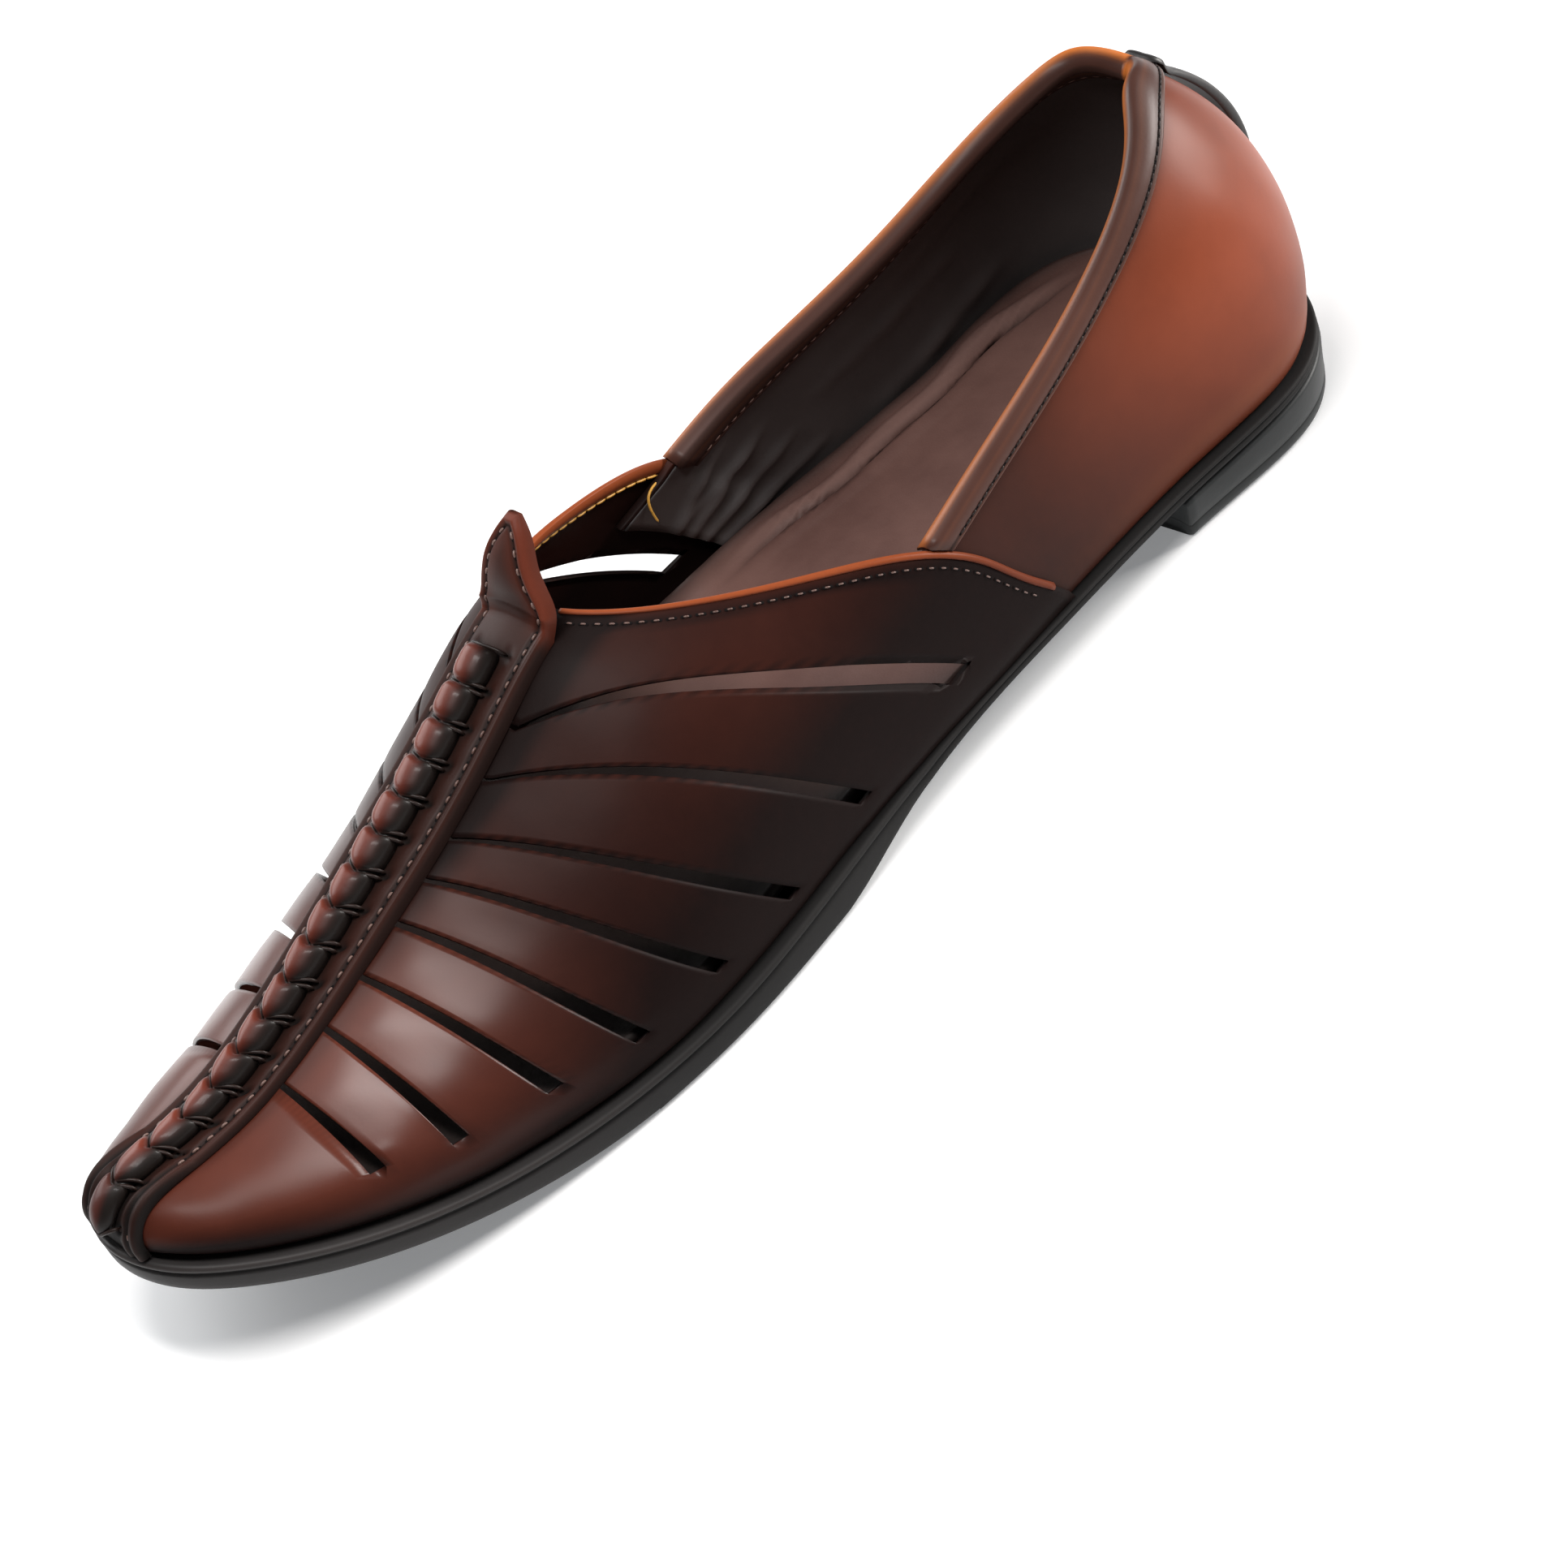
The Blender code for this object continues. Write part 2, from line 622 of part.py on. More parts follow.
def braid_shares(count):
    """Shares of the strap at even distances along its middle, over the length that the plait takes."""
    shares = np.linspace(0, 1, 600)
    t, angle = strap_grid(shares, np.zeros(len(shares)))
    points = last_point(t, angle, np.full(len(shares), VAMP_OFFSET + CLEARANCE))
    along = np.concatenate([[0], np.cumsum(np.linalg.norm(np.diff(points, axis=0), axis=1))])
    return np.interp(np.linspace(BRAID_START, along[-1] - BRAID_END, count), along, shares)


def build_braid(target):
    """The raised plait: one cord over the strap's middle, pinched between its lozenges."""
    steps = BRAID_LOZENGES * BRAID_STEPS
    rings = []
    for step, share in enumerate(braid_shares(steps + 1)):
        pinch = abs(math.sin(math.pi * step / BRAID_STEPS)) ** 0.6
        size = BRAID_WAIST + (1 - BRAID_WAIST) * pinch
        if step in (0, steps):
            size = 0.4
        across = np.cos(np.radians(BRAID_ARC)) * BRAID_HALF_WIDTH * size
        height = BRAID_HEIGHT * (1 - (1 - BRAID_TOE_HEIGHT) * max(0.0, share - 0.7) / 0.3)
        rise = np.sin(np.radians(BRAID_ARC)) * height * size
        shares = np.full(len(across), share)
        t, angle = strap_grid(shares, across / STRAP_SHAPE["half_width"](1.0))
        base_offset = VAMP_OFFSET + CLEARANCE + STRAP_SHAPE["thickness"](t) + BRAID_GAP
        top = last_point(t, angle, base_offset + 0.2 + rise)
        under = last_point(t[1:-1], angle[1:-1], base_offset[1:-1])
        rings.append(np.concatenate([top, under[::-1]]))
    return loft("braid", rings, LEATHER, target)


def edge_point(t, side, outwards):
    """A point of the feather line moved outwards in plan, with z left at the feather edge."""
    t = np.asarray(t, float)
    angle = np.where(side > 0, 0.0, 180.0)
    inner = np.clip(t, 0.004, 0.996)
    step = face_point(inner + 0.003, angle) - face_point(inner - 0.003, angle)
    plan = np.stack([-step[..., 1], step[..., 0]], -1) * side
    plan /= np.linalg.norm(plan, axis=-1, keepdims=True)
    ends = (t < 1e-6) | (t > 1 - 1e-6)
    straight = np.stack([np.where(t < 0.5, -1.0, 1.0), np.zeros(t.shape)], -1)
    plan = np.where(ends[..., None], straight, plan)
    point = face_point(t, angle).copy()
    point[..., :2] += plan * np.asarray(outwards, float)[..., None]
    return point


def sole_bottom(t):
    """Height of the sole's underside: flat on the floor under the ball, raised at the waist and toe."""
    height = SHAPE["feather"](t) - SOLE_SHAPE["thickness"](t)
    x = distance(t)
    flat = (x > TREAD_FLAT[0]) & (x < TREAD_FLAT[1])
    return np.where(flat, 0.0, np.maximum(height, 0.0))


SOLE_STATIONS = 46


def build_outsole(target):
    """Stations along the sole, each a closed outline: left side, underside, right side and top."""
    extra = list(station(np.array(TREAD_FLAT)))
    stations = sorted(list(np.linspace(0, 1, SOLE_STATIONS + 1)) + extra)
    rings = []
    for t in stations:
        edge = SOLE_SHAPE["edge"](t)
        top = SHAPE["feather"](t) - CLEARANCE
        bottom = float(sole_bottom(np.array(t)))
        levels = [(top + drop, edge + out) for drop, out in SOLE_PROFILE]
        levels = [(max(z, bottom + 0.9), out) for z, out in levels]
        levels += [(bottom + 0.6, edge - 0.3), (bottom, edge - 1.1)]
        left = [with_z(edge_point(t, 1, out), z) for z, out in levels]
        right = [with_z(edge_point(t, -1, out), z) for z, out in reversed(levels)]
        rings.append(left + right)
    rings = np.array(rings)
    count = rings.shape[1]
    faces = grid_faces(len(rings), count, closed=True)
    return mesh_object("outsole", rings.reshape(-1, 3), faces, SOLE_RUBBER, target)


def with_z(point, z):
    return (point[0], point[1], z)


HEEL_STATIONS = 15


def build_heel(target):
    """A low block under the seat, a little smaller at the floor, with a straight breast."""
    rings = []
    for t in np.linspace(0, float(station(HEEL_BREAST)), HEEL_STATIONS):
        edge = SOLE_SHAPE["edge"](t)
        top = float(sole_bottom(np.array(t))) - CLEARANCE
        levels = [(top, edge - 0.9), (top - 0.6, edge), (0.8, edge - HEEL_TAPER), (0.0, edge - HEEL_TAPER - 0.8)]
        left = [with_z(edge_point(t, 1, out), z) for z, out in levels]
        right = [with_z(edge_point(t, -1, out), z) for z, out in reversed(levels)]
        rings.append(left + right)
    return loft("heel", rings, SOLE_RUBBER, target)


INSOLE_STATIONS = 30


def build_insole(target):
    """A thin sock that lies on the sole inside the upper."""
    rings = []
    for t in np.linspace(0, 1, INSOLE_STATIONS):
        inset = -(INSOLE_INSET + (INSOLE_TOE_INSET - INSOLE_INSET) * max(0.0, t - 0.7) / 0.3)
        low = float(SHAPE["feather"](t)) + CLEARANCE * 0.3
        levels = [(low, inset), (low + INSOLE_THICKNESS - 0.6, inset), (low + INSOLE_THICKNESS, inset - 0.8)]
        left = [with_z(edge_point(t, 1, out), z) for z, out in reversed(levels)]
        right = [with_z(edge_point(t, -1, out), z) for z, out in levels]
        rings.append(left + right)
    rings = np.array(rings)
    faces = grid_faces(len(rings), rings.shape[1], closed=True)
    return mesh_object("insole", rings.reshape(-1, 3), faces, SOCK_LEATHER, target)


def main():
    for old in list(bpy.data.objects):
        bpy.data.objects.remove(old, do_unlink=True)
    shoe = bpy.data.collections.new("mojari_shoe")
    helpers = bpy.data.collections.new("helpers")
    for made in (shoe, helpers):
        bpy.context.scene.collection.children.link(made)
    build_outsole(shoe)
    build_heel(shoe)
    build_insole(shoe)
    build_upper(shoe, helpers)
    build_strap(shoe)
    build_braid(shoe)
    build_binding(shoe)
    build_back_strip(shoe)


main()
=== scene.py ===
import bpy
import math
import numpy as np
from mathutils import Matrix, Vector


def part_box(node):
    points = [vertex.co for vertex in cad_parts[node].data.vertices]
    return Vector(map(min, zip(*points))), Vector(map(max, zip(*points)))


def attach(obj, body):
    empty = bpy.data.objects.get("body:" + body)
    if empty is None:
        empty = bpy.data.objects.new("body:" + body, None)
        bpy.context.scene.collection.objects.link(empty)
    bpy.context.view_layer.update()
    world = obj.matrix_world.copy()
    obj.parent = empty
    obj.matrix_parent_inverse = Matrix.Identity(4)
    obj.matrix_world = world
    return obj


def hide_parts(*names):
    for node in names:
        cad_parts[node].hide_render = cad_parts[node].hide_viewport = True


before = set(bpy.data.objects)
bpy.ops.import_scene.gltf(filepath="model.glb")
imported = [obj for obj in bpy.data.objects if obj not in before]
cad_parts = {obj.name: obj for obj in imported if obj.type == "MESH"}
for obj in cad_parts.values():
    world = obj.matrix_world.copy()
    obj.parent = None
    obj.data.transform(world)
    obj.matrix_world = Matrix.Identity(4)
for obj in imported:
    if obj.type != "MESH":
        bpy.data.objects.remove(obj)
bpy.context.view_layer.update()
bpy.ops.object.select_all(action="DESELECT")
print("frame loaded")

# The last that every piece lies on, in millimetres. An angle runs over a cross-section:
# 0 is the left feather edge, 90 the crown, 180 the right feather edge.
lastForm = {
    "length": 290.0, "halfBulge": 1.0, "heelBulge": 1.8, "heelTuck": 5.2,
    "heelRake": 6.2, "heelLevel": 20.0, "heelReach": 70.0,
    "names": ("x", "halfWidth", "centre", "feather", "crown", "crownCentre", "fullness"),
    "sections": [
        (0.0, 0.0, 4.5, 13.9, 58.0, 4.2, 2.10), (7.0, 21.5, 4.6, 13.7, 58.2, 4.1, 2.10),
        (28.0, 35.8, 4.6, 13.1, 57.6, 3.6, 2.15), (60.0, 35.8, 3.3, 12.1, 55.0, 2.4, 2.45),
        (100.0, 38.0, 0.4, 10.8, 53.2, 0.2, 2.50), (145.0, 40.0, -1.2, 9.1, 53.0, -2.3, 2.15),
        (170.0, 41.9, -1.4, 8.0, 52.4, -3.5, 1.90), (190.0, 43.0, -1.2, 7.2, 45.4, -3.3, 1.73),
        (215.0, 40.8, -0.6, 7.4, 35.6, -2.7, 1.64), (240.0, 35.5, -0.2, 10.0, 25.5, -1.9, 1.78),
        (262.0, 28.1, -0.3, 15.2, 15.9, -1.4, 1.90), (278.0, 19.0, -0.6, 20.6, 11.3, -1.2, 2.15),
        (285.5, 12.6, -0.8, 23.9, 8.0, -1.1, 2.35), (290.0, 0.0, -0.9, 26.2, 0.0, -1.0, 2.35),
    ],
}


def naturalSpline(knots, values):
    knots, values = np.array(knots, float), np.array(values, float)
    span, count = np.diff(knots), len(knots)
    system, right = np.eye(count), np.zeros(count)
    for i in range(1, count - 1):
        system[i, i - 1:i + 2] = span[i - 1], 2 * (span[i - 1] + span[i]), span[i]
        right[i] = 6 * ((values[i + 1] - values[i]) / span[i] - (values[i] - values[i - 1]) / span[i - 1])
    bend = np.linalg.solve(system, right)

    def at(place):
        place = np.asarray(place, float)
        i = np.clip(np.searchsorted(knots, place) - 1, 0, count - 2)
        before, after, width = place - knots[i], knots[i + 1] - place, span[i]
        cubic = (bend[i] * after**3 + bend[i + 1] * before**3) / (6 * width)
        start = (values[i] / width - bend[i] * width / 6) * after
        return cubic + start + (values[i + 1] / width - bend[i + 1] * width / 6) * before

    return at


def station(x):  # share of the way along the last, dense at both round ends
    return np.arccos(np.clip(1 - 2 * np.asarray(x, float) / lastForm["length"], -1, 1)) / math.pi


def distance(t):
    return lastForm["length"] / 2 * (1 - np.cos(math.pi * np.asarray(t, float)))


def curvesOf(names, rows):  # one smooth curve for each column, over the first one
    table = list(zip(*rows))
    knots = station(table[0]) if names[0] == "x" else table[0]
    return {name: naturalSpline(knots, values) for name, values in zip(names[1:], table[1:])}


lastCurve = curvesOf(lastForm["names"], lastForm["sections"])


def unit(vectors):
    return vectors / np.maximum(np.linalg.norm(vectors, axis=-1, keepdims=True), 1e-12)


def facePoint(t, angle):
    t, angle = np.broadcast_arrays(np.asarray(t, float), np.clip(np.asarray(angle, float), 0, 180))
    side = np.cos(np.radians(angle))
    up = np.maximum(np.sin(np.radians(angle)), 0)
    power = 2 / lastCurve["fullness"](t)
    rise, reach = up**power, np.abs(side) ** power
    half = np.maximum(lastCurve["halfWidth"](t), 0)
    bulge = lastForm["halfBulge"] * 2 * up * np.abs(side) * np.minimum(1, 1.5 * np.sin(math.pi * t))
    middle = lastCurve["centre"](t) * (1 - rise) + lastCurve["crownCentre"](t) * rise
    height = np.maximum(lastCurve["crown"](t), 0) * rise
    level = height / lastForm["heelLevel"] - 1
    lean = np.where(level < 0, lastForm["heelTuck"], lastForm["heelRake"]) * level**2 - lastForm["heelBulge"]
    x = distance(t)
    x = x + lean * np.clip(1 - x / lastForm["heelReach"], 0, 1) ** 2
    y = middle + np.sign(side) * (half * reach + bulge)
    return np.stack([x, y, lastCurve["feather"](t) + height], -1)


def alongFace(t, angle, margin):  # a short step of the face towards the toe, kept off both ends
    inner = np.clip(t, margin, 1 - margin)
    return facePoint(inner + 0.003, angle) - facePoint(inner - 0.003, angle)


def isEnd(t):
    return ((t < 1e-6) | (t > 1 - 1e-6))[..., None]


def faceNormal(t, angle):
    t, angle = np.broadcast_arrays(np.asarray(t, float), np.asarray(angle, float))

    def oneSide(around):
        inner = np.clip(t, 0.006, 0.994)
        over = facePoint(inner, around + 1.0) - facePoint(inner, around - 1.0)
        return unit(np.cross(over, alongFace(t, around, 0.006)))

    normal = oneSide(angle)
    return unit(np.where(isEnd(t), normal + oneSide(180 - angle), normal))


def lastPoint(t, angle, offset=0.0):
    return facePoint(t, angle) + faceNormal(t, angle) * np.asarray(offset, float)[..., None]


def edgePoint(t, side, outwards, z=None):  # the feather line moved outwards in plan
    t = np.asarray(t, float)
    angle = np.where(side > 0, 0.0, 180.0)
    step = alongFace(t, angle, 0.004)
    plan = unit(np.stack([-step[..., 1], step[..., 0]], -1) * side)
    straight = np.stack([np.where(t < 0.5, -1.0, 1.0), np.zeros(t.shape)], -1)
    point = facePoint(t, angle).copy()
    point[..., :2] += np.where(isEnd(t), straight, plan) * np.asarray(outwards, float)[..., None]
    if z is not None:
        point[..., 2] = z
    return point


def angleAtHeight(t, height):
    share = np.clip(height / np.maximum(lastCurve["crown"](t), 1e-6), 0, 1)
    return np.degrees(np.arcsin(share ** (lastCurve["fullness"](t) / 2)))


def halve(test, low, high):
    for _ in range(36):
        middle = (low + high) / 2
        keep = test(middle)
        low, high = np.where(keep, middle, low), np.where(keep, high, middle)
    return (low + high) / 2


def angleBesideCrown(t, aside):
    t, aside = np.broadcast_arrays(np.asarray(t, float), np.asarray(aside, float))
    middle = lastCurve["crownCentre"](t)
    return halve(lambda a: facePoint(t, a)[..., 1] - middle > aside, np.zeros(t.shape), np.full(t.shape, 180.0))


def smooth(value, low, high):
    share = np.clip((np.asarray(value, float) - low) / (high - low), 0, 1)
    return share * share * (3 - 2 * share)


def bump(value, centre, width):
    return np.exp(-(((np.asarray(value, float) - centre) / width) ** 2))


def joined(*shares):  # several soft masks as one that never passes 1
    left = 1.0
    for share in shares:
        left = left * (1 - np.clip(share, 0, 1))
    return 1 - left


def maskSum(rows, **measures):  # adds up rows of an amount and its masks, each (measure, start, full) or a peak
    total = 0.0
    for amount, *masks in rows:
        for measure, first, second, *peak in masks:  # a peak has a centre and a width
            amount = amount * (bump if peak else smooth)(measures[measure], first, second)
        total = total + amount
    return total


def softDents(points, rows):  # slow waves that keep hand-lasted leather from looking machined
    dents = 0.0
    for tall, wave, seed in rows:
        x, y, z = np.moveaxis(points, -1, 0) / wave
        total = 0.6 * np.sin(1.7 * x + 2.3 * y + seed) * np.cos(2.1 * z - 1.3 * x + 2 * seed)
        total += 0.4 * np.sin(3.9 * x - 2.7 * z + 3 * seed) * np.cos(3.1 * y + 1.9 * z + seed)
        dents = dents + tall * total
    return dents


def nearest(points, line):  # distance from every point to the nearest point of a line
    flat = points.reshape(-1, 3)
    best = np.full(len(flat), 1e9)
    for start in range(0, len(line), 64):
        gap = np.linalg.norm(flat[:, None] - line[None, start:start + 64], axis=-1)
        best = np.minimum(best, gap.min(axis=1))
    return best.reshape(points.shape[:-1])


def lengthsAlong(path):
    return np.concatenate([[0], np.cumsum(np.linalg.norm(np.diff(path, axis=0), axis=-1))])


soleForm = {
    "names": ("x", "thickness", "edge"),
    "rows": [
        (0.0, 2.6, 0.6), (30.0, 3.0, 0.8), (68.0, 3.2, 0.6), (100.0, 2.9, 0.3),
        (125.0, 3.2, 0.3), (145.0, 5.2, 0.9), (162.0, 8.0, 1.8), (190.0, 7.2, 2.2),
        (215.0, 7.2, 2.2), (240.0, 6.8, 2.2), (265.0, 6.6, 2.2), (290.0, 6.6, 2.2),
    ],
    "flat": (166.0, 214.0), "stations": 150, "sideDepth": 2.9,
    "side": [  # height under the top, distance outside the edge: a lip, a step and a groove
        (-0.3, -1.0), (-0.32, -0.55), (-0.55, -0.12), (-0.9, 0.0), (-1.25, 0.0), (-1.5, -0.14), (-1.7, -0.5),
        (-1.95, -0.58), (-2.2, -0.45), (-2.45, -0.12), (-2.8, -0.02),
    ],
    "rim": [(0.85, -0.05), (0.4, -0.25), (0.12, -0.65), (0.0, -1.3)],  # height over the bottom, distance outside
    "under": (0.2, 0.4, 0.6, 0.8), "over": (0.1, 0.35, 0.65, 0.9, 1.0),
    # the lip's lighter line is a painted highlight
    "lip": (2, 3, 4), "groove": (6, 7, 8), "lipGlint": 0.55, "grooveShade": 0.35, "shade": [(0.75, ("x", 262, 190))],
}
soleCurve = curvesOf(soleForm["names"], soleForm["rows"])
soleAlong = np.linspace(0, 1, 400)
soleLine = np.concatenate([edgePoint(soleAlong, side, soleCurve["edge"](soleAlong)) for side in (1, -1)])
shift = soleLine.min(axis=0) - np.array(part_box("outsole")[0]) * 1000  # from the last's own axes to the part's
shift[2] = 0.0


# Making and finishing a mesh, as a hand would: a primitive, its points placed, then modifiers.
def placed(points):  # millimetres along the last to metres in the part's frame
    return (points - shift) / 1000


def makeActive(piece):
    bpy.ops.object.select_all(action="DESELECT")
    piece.select_set(True)
    bpy.context.view_layer.objects.active = piece


def editAll(*steps):  # edit-mode steps, each over the whole active piece
    bpy.ops.object.mode_set(mode="EDIT")
    for step, settings in steps:
        bpy.ops.mesh.select_all(action="SELECT")
        step(**settings)
    bpy.ops.object.mode_set(mode="OBJECT")


def readPoints(source, key):
    values = np.empty(len(source) * 3, np.float32)
    source.foreach_get(key, values)
    return values.reshape(-1, 3)


def writePoints(source, key, values):
    source.foreach_set(key, values.astype(np.float32).reshape(-1))


def gridPiece(name, points, edge=0.0, shade=0.0, gloss=None, inner=None, closed=False, cut=None):
    rows, columns = points.shape[:2]
    bpy.ops.object.select_all(action="DESELECT")
    bpy.ops.mesh.primitive_grid_add(x_subdivisions=columns - 1, y_subdivisions=rows - 1, size=2)
    piece = bpy.context.object
    piece.name = piece.data.name = name
    mesh = piece.data
    cells = np.array([columns - 1, rows - 1])
    column, row = np.rint((readPoints(mesh.vertices, "co")[:, :2] + 1) / 2 * cells).astype(int).T
    if cut is not None:
        centres = np.array([face.center for face in mesh.polygons])[:, :2]
        faceColumn, faceRow = ((centres + 1) / 2 * cells).astype(int).T
    writePoints(mesh.vertices, "co", placed(points[row, column]))
    # the edge mark is worn edges and painted highlights, the shade mark is painted shade
    for mark, values in (("wearAndHighlightMark", edge), ("shadeMark", np.clip(shade, 0, 1)), ("glossMark", gloss)):
        if values is not None:
            layer = mesh.attributes.new(mark, "FLOAT", "POINT")
            values = np.broadcast_to(values, (rows, columns))[row, column]
            layer.data.foreach_set("value", np.ascontiguousarray(values, np.float32))
    if inner is not None:
        layer = mesh.attributes.new("innerPlace", "FLOAT_VECTOR", "POINT")
        writePoints(layer.data, "vector", placed(inner[row, column]))
    bpy.ops.object.mode_set(mode="EDIT")
    bpy.ops.mesh.select_mode(type="FACE")
    bpy.ops.mesh.select_all(action="DESELECT")
    bpy.ops.object.mode_set(mode="OBJECT")
    if cut is not None:
        mesh.polygons.foreach_set("select", cut[faceRow, faceColumn])
        bpy.ops.object.mode_set(mode="EDIT")
        bpy.ops.mesh.delete(type="FACE")
        bpy.ops.object.mode_set(mode="OBJECT")
    if closed:
        editAll((bpy.ops.mesh.remove_doubles, {"threshold": 0.000004}), (bpy.ops.mesh.fill_holes, {"sides": 0}),
                (bpy.ops.mesh.normals_make_consistent, {"inside": False}))
    bpy.ops.object.shade_smooth()
    return piece


def facesPiece(name, points, faces):  # many small shapes in one mesh
    mesh = bpy.data.meshes.new(name)
    mesh.from_pydata(placed(np.array(points)).tolist(), [], faces)
    mesh.update()
    piece = bpy.data.objects.new(name, mesh)
    bpy.context.scene.collection.objects.link(piece)
    return piece


def closeEnds(rings, lift, size):  # draws the first ring to a point, lifted, and the last one to a smaller size
    tip = rings[:1] * 0 + rings[0].mean(axis=0) + (0, 0, lift)
    return np.concatenate([tip, rings, rings[-1:] * size + rings[-1].mean(axis=0) * (1 - size)])


def repeatEnds(values):
    return np.concatenate([values[:1], values, values[-1:]])


def applyModifier(piece, kind, **settings):
    makeActive(piece)
    modifier = piece.modifiers.new(kind.title(), kind)
    for setting, value in settings.items():
        setattr(modifier, setting, value)
    bpy.ops.object.modifier_apply(modifier=modifier.name)


def weld(gap):  # joins points that fell together, and drops the flat faces between them
    editAll((bpy.ops.mesh.remove_doubles, {"threshold": gap}), (bpy.ops.mesh.dissolve_degenerate, {"threshold": gap}))


wallForm = {"weld": 0.000003, "lastWeld": 0.00002, "segments": 2, "sharpAngle": 55}  # metres and degrees


def giveWall(piece, wall, edgeRadius):
    applyModifier(piece, "SOLIDIFY", thickness=wall / 1000, offset=-1, material_offset=1, material_offset_rim=2)
    mesh = piece.data
    if "innerPlace" in mesh.attributes:  # the inner skin is put exactly where it was worked out
        place = readPoints(mesh.vertices, "co")
        half = len(place) // 2
        place[half:] = readPoints(mesh.attributes["innerPlace"].data, "vector")[half:]
        writePoints(mesh.vertices, "co", place)
        mesh.attributes.remove(mesh.attributes["innerPlace"])
        mesh.update()
    weld(wallForm["weld"])
    corners = {"limit_method": "ANGLE", "angle_limit": math.radians(wallForm["sharpAngle"])}
    applyModifier(piece, "BEVEL", width=edgeRadius / 1000, segments=wallForm["segments"], **corners)
    weld(wallForm["lastWeld"])
    bpy.ops.object.shade_smooth()


def finishPiece(piece, names, slot, *nodes):
    piece.data.materials.clear()
    for name in names:
        piece.data.materials.append(finish[name])
    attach(piece, "root")
    if nodes:
        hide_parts(*nodes)


# Finishes. The shared effects are node groups; each finish sets its own values.
def newGroup(name, inputs, output):
    group = bpy.data.node_groups.new(name, "ShaderNodeTree")
    for label, value in inputs.items():
        socket = group.interface.new_socket(name=label, in_out="INPUT", socket_type="NodeSocketFloat")
        socket.default_value = value
    group.interface.new_socket(name=output, in_out="OUTPUT", socket_type="NodeSocketFloat")
    return group, group.nodes.new("NodeGroupInput").outputs, group.nodes.new("NodeGroupOutput").inputs[0]


def setInputs(tree, node, sources):  # a socket is linked, anything else is set as the value
    for socket, source in sources.items():
        if isinstance(source, bpy.types.NodeSocket):
            tree.links.new(source, node.inputs[socket])
        else:
            node.inputs[socket].default_value = source


def addNode(tree, kind, sources=None, **settings):
    node = tree.nodes.new("ShaderNode" + kind)
    for setting, value in settings.items():
        setattr(node, setting, value)
    setInputs(tree, node, sources or {})
    return node


def calculate(tree, operation, *values, **settings):
    return addNode(tree, "Math", dict(enumerate(values)), operation=operation, **settings).outputs[0]


def noise(tree, scale, detail, **more):
    place = addNode(tree, "TexCoord").outputs["Object"]
    return addNode(tree, "TexNoise", {"Vector": place, "Scale": scale, "Detail": detail, **more}).outputs["Fac"]


grainForm = {
    "scales": {"Pore Scale": 2200.0, "Peel Scale": 520.0, "Wave Scale": 60.0}, "pores": 0.18, "peel": 0.55, "wave": 2.6,
}


def makeGrain():  # pores, a fine orange peel and a slow unevenness, as one height
    group, given, out = newGroup("leatherGrain", grainForm["scales"], "Height")
    links = {"Vector": addNode(group, "TexCoord").outputs["Object"], "Scale": given["Pore Scale"]}
    pores = addNode(group, "TexVoronoi", links, feature="SMOOTH_F1").outputs["Distance"]
    height = calculate(group, "MULTIPLY", pores, grainForm["pores"])
    for key, scale, detail in (("peel", "Peel Scale", 4.0), ("wave", "Wave Scale", 2.0)):
        height = calculate(group, "MULTIPLY_ADD", noise(group, given[scale], detail), grainForm[key], height)
    group.links.new(height, out)
    return group


def makeDrift():  # cloudy change of tone over a hide, from 0 to 1
    group, given, out = newGroup("toneDrift", {"Scale": 30.0, "Contrast": 1.5}, "Tone")
    centred = calculate(group, "SUBTRACT", noise(group, given["Scale"], 5.0, Roughness=0.6), 0.5)
    group.links.new(calculate(group, "MULTIPLY_ADD", centred, given["Contrast"], 0.5, use_clamp=True), out)
    return group


def makePaintedLightAndWear():  # a mark from the mesh, broken up so that it doesn't end in a clean line; it carries worn edges with painted highlights, and painted shade
    group, given, out = newGroup("paintedLightAndWearBreakUp", {"Mark": 0.0, "Break Up": 0.25, "Scale": 900.0}, "Wear")
    centred = calculate(group, "SUBTRACT", noise(group, given["Scale"], 3.0), 0.5)
    amount = calculate(group, "ADD", calculate(group, "MULTIPLY", centred, given["Break Up"]), 1.0)
    kept = calculate(group, "MINIMUM", given["Mark"], 1.0)
    group.links.new(calculate(group, "MULTIPLY", kept, amount, use_clamp=True), out)
    return group


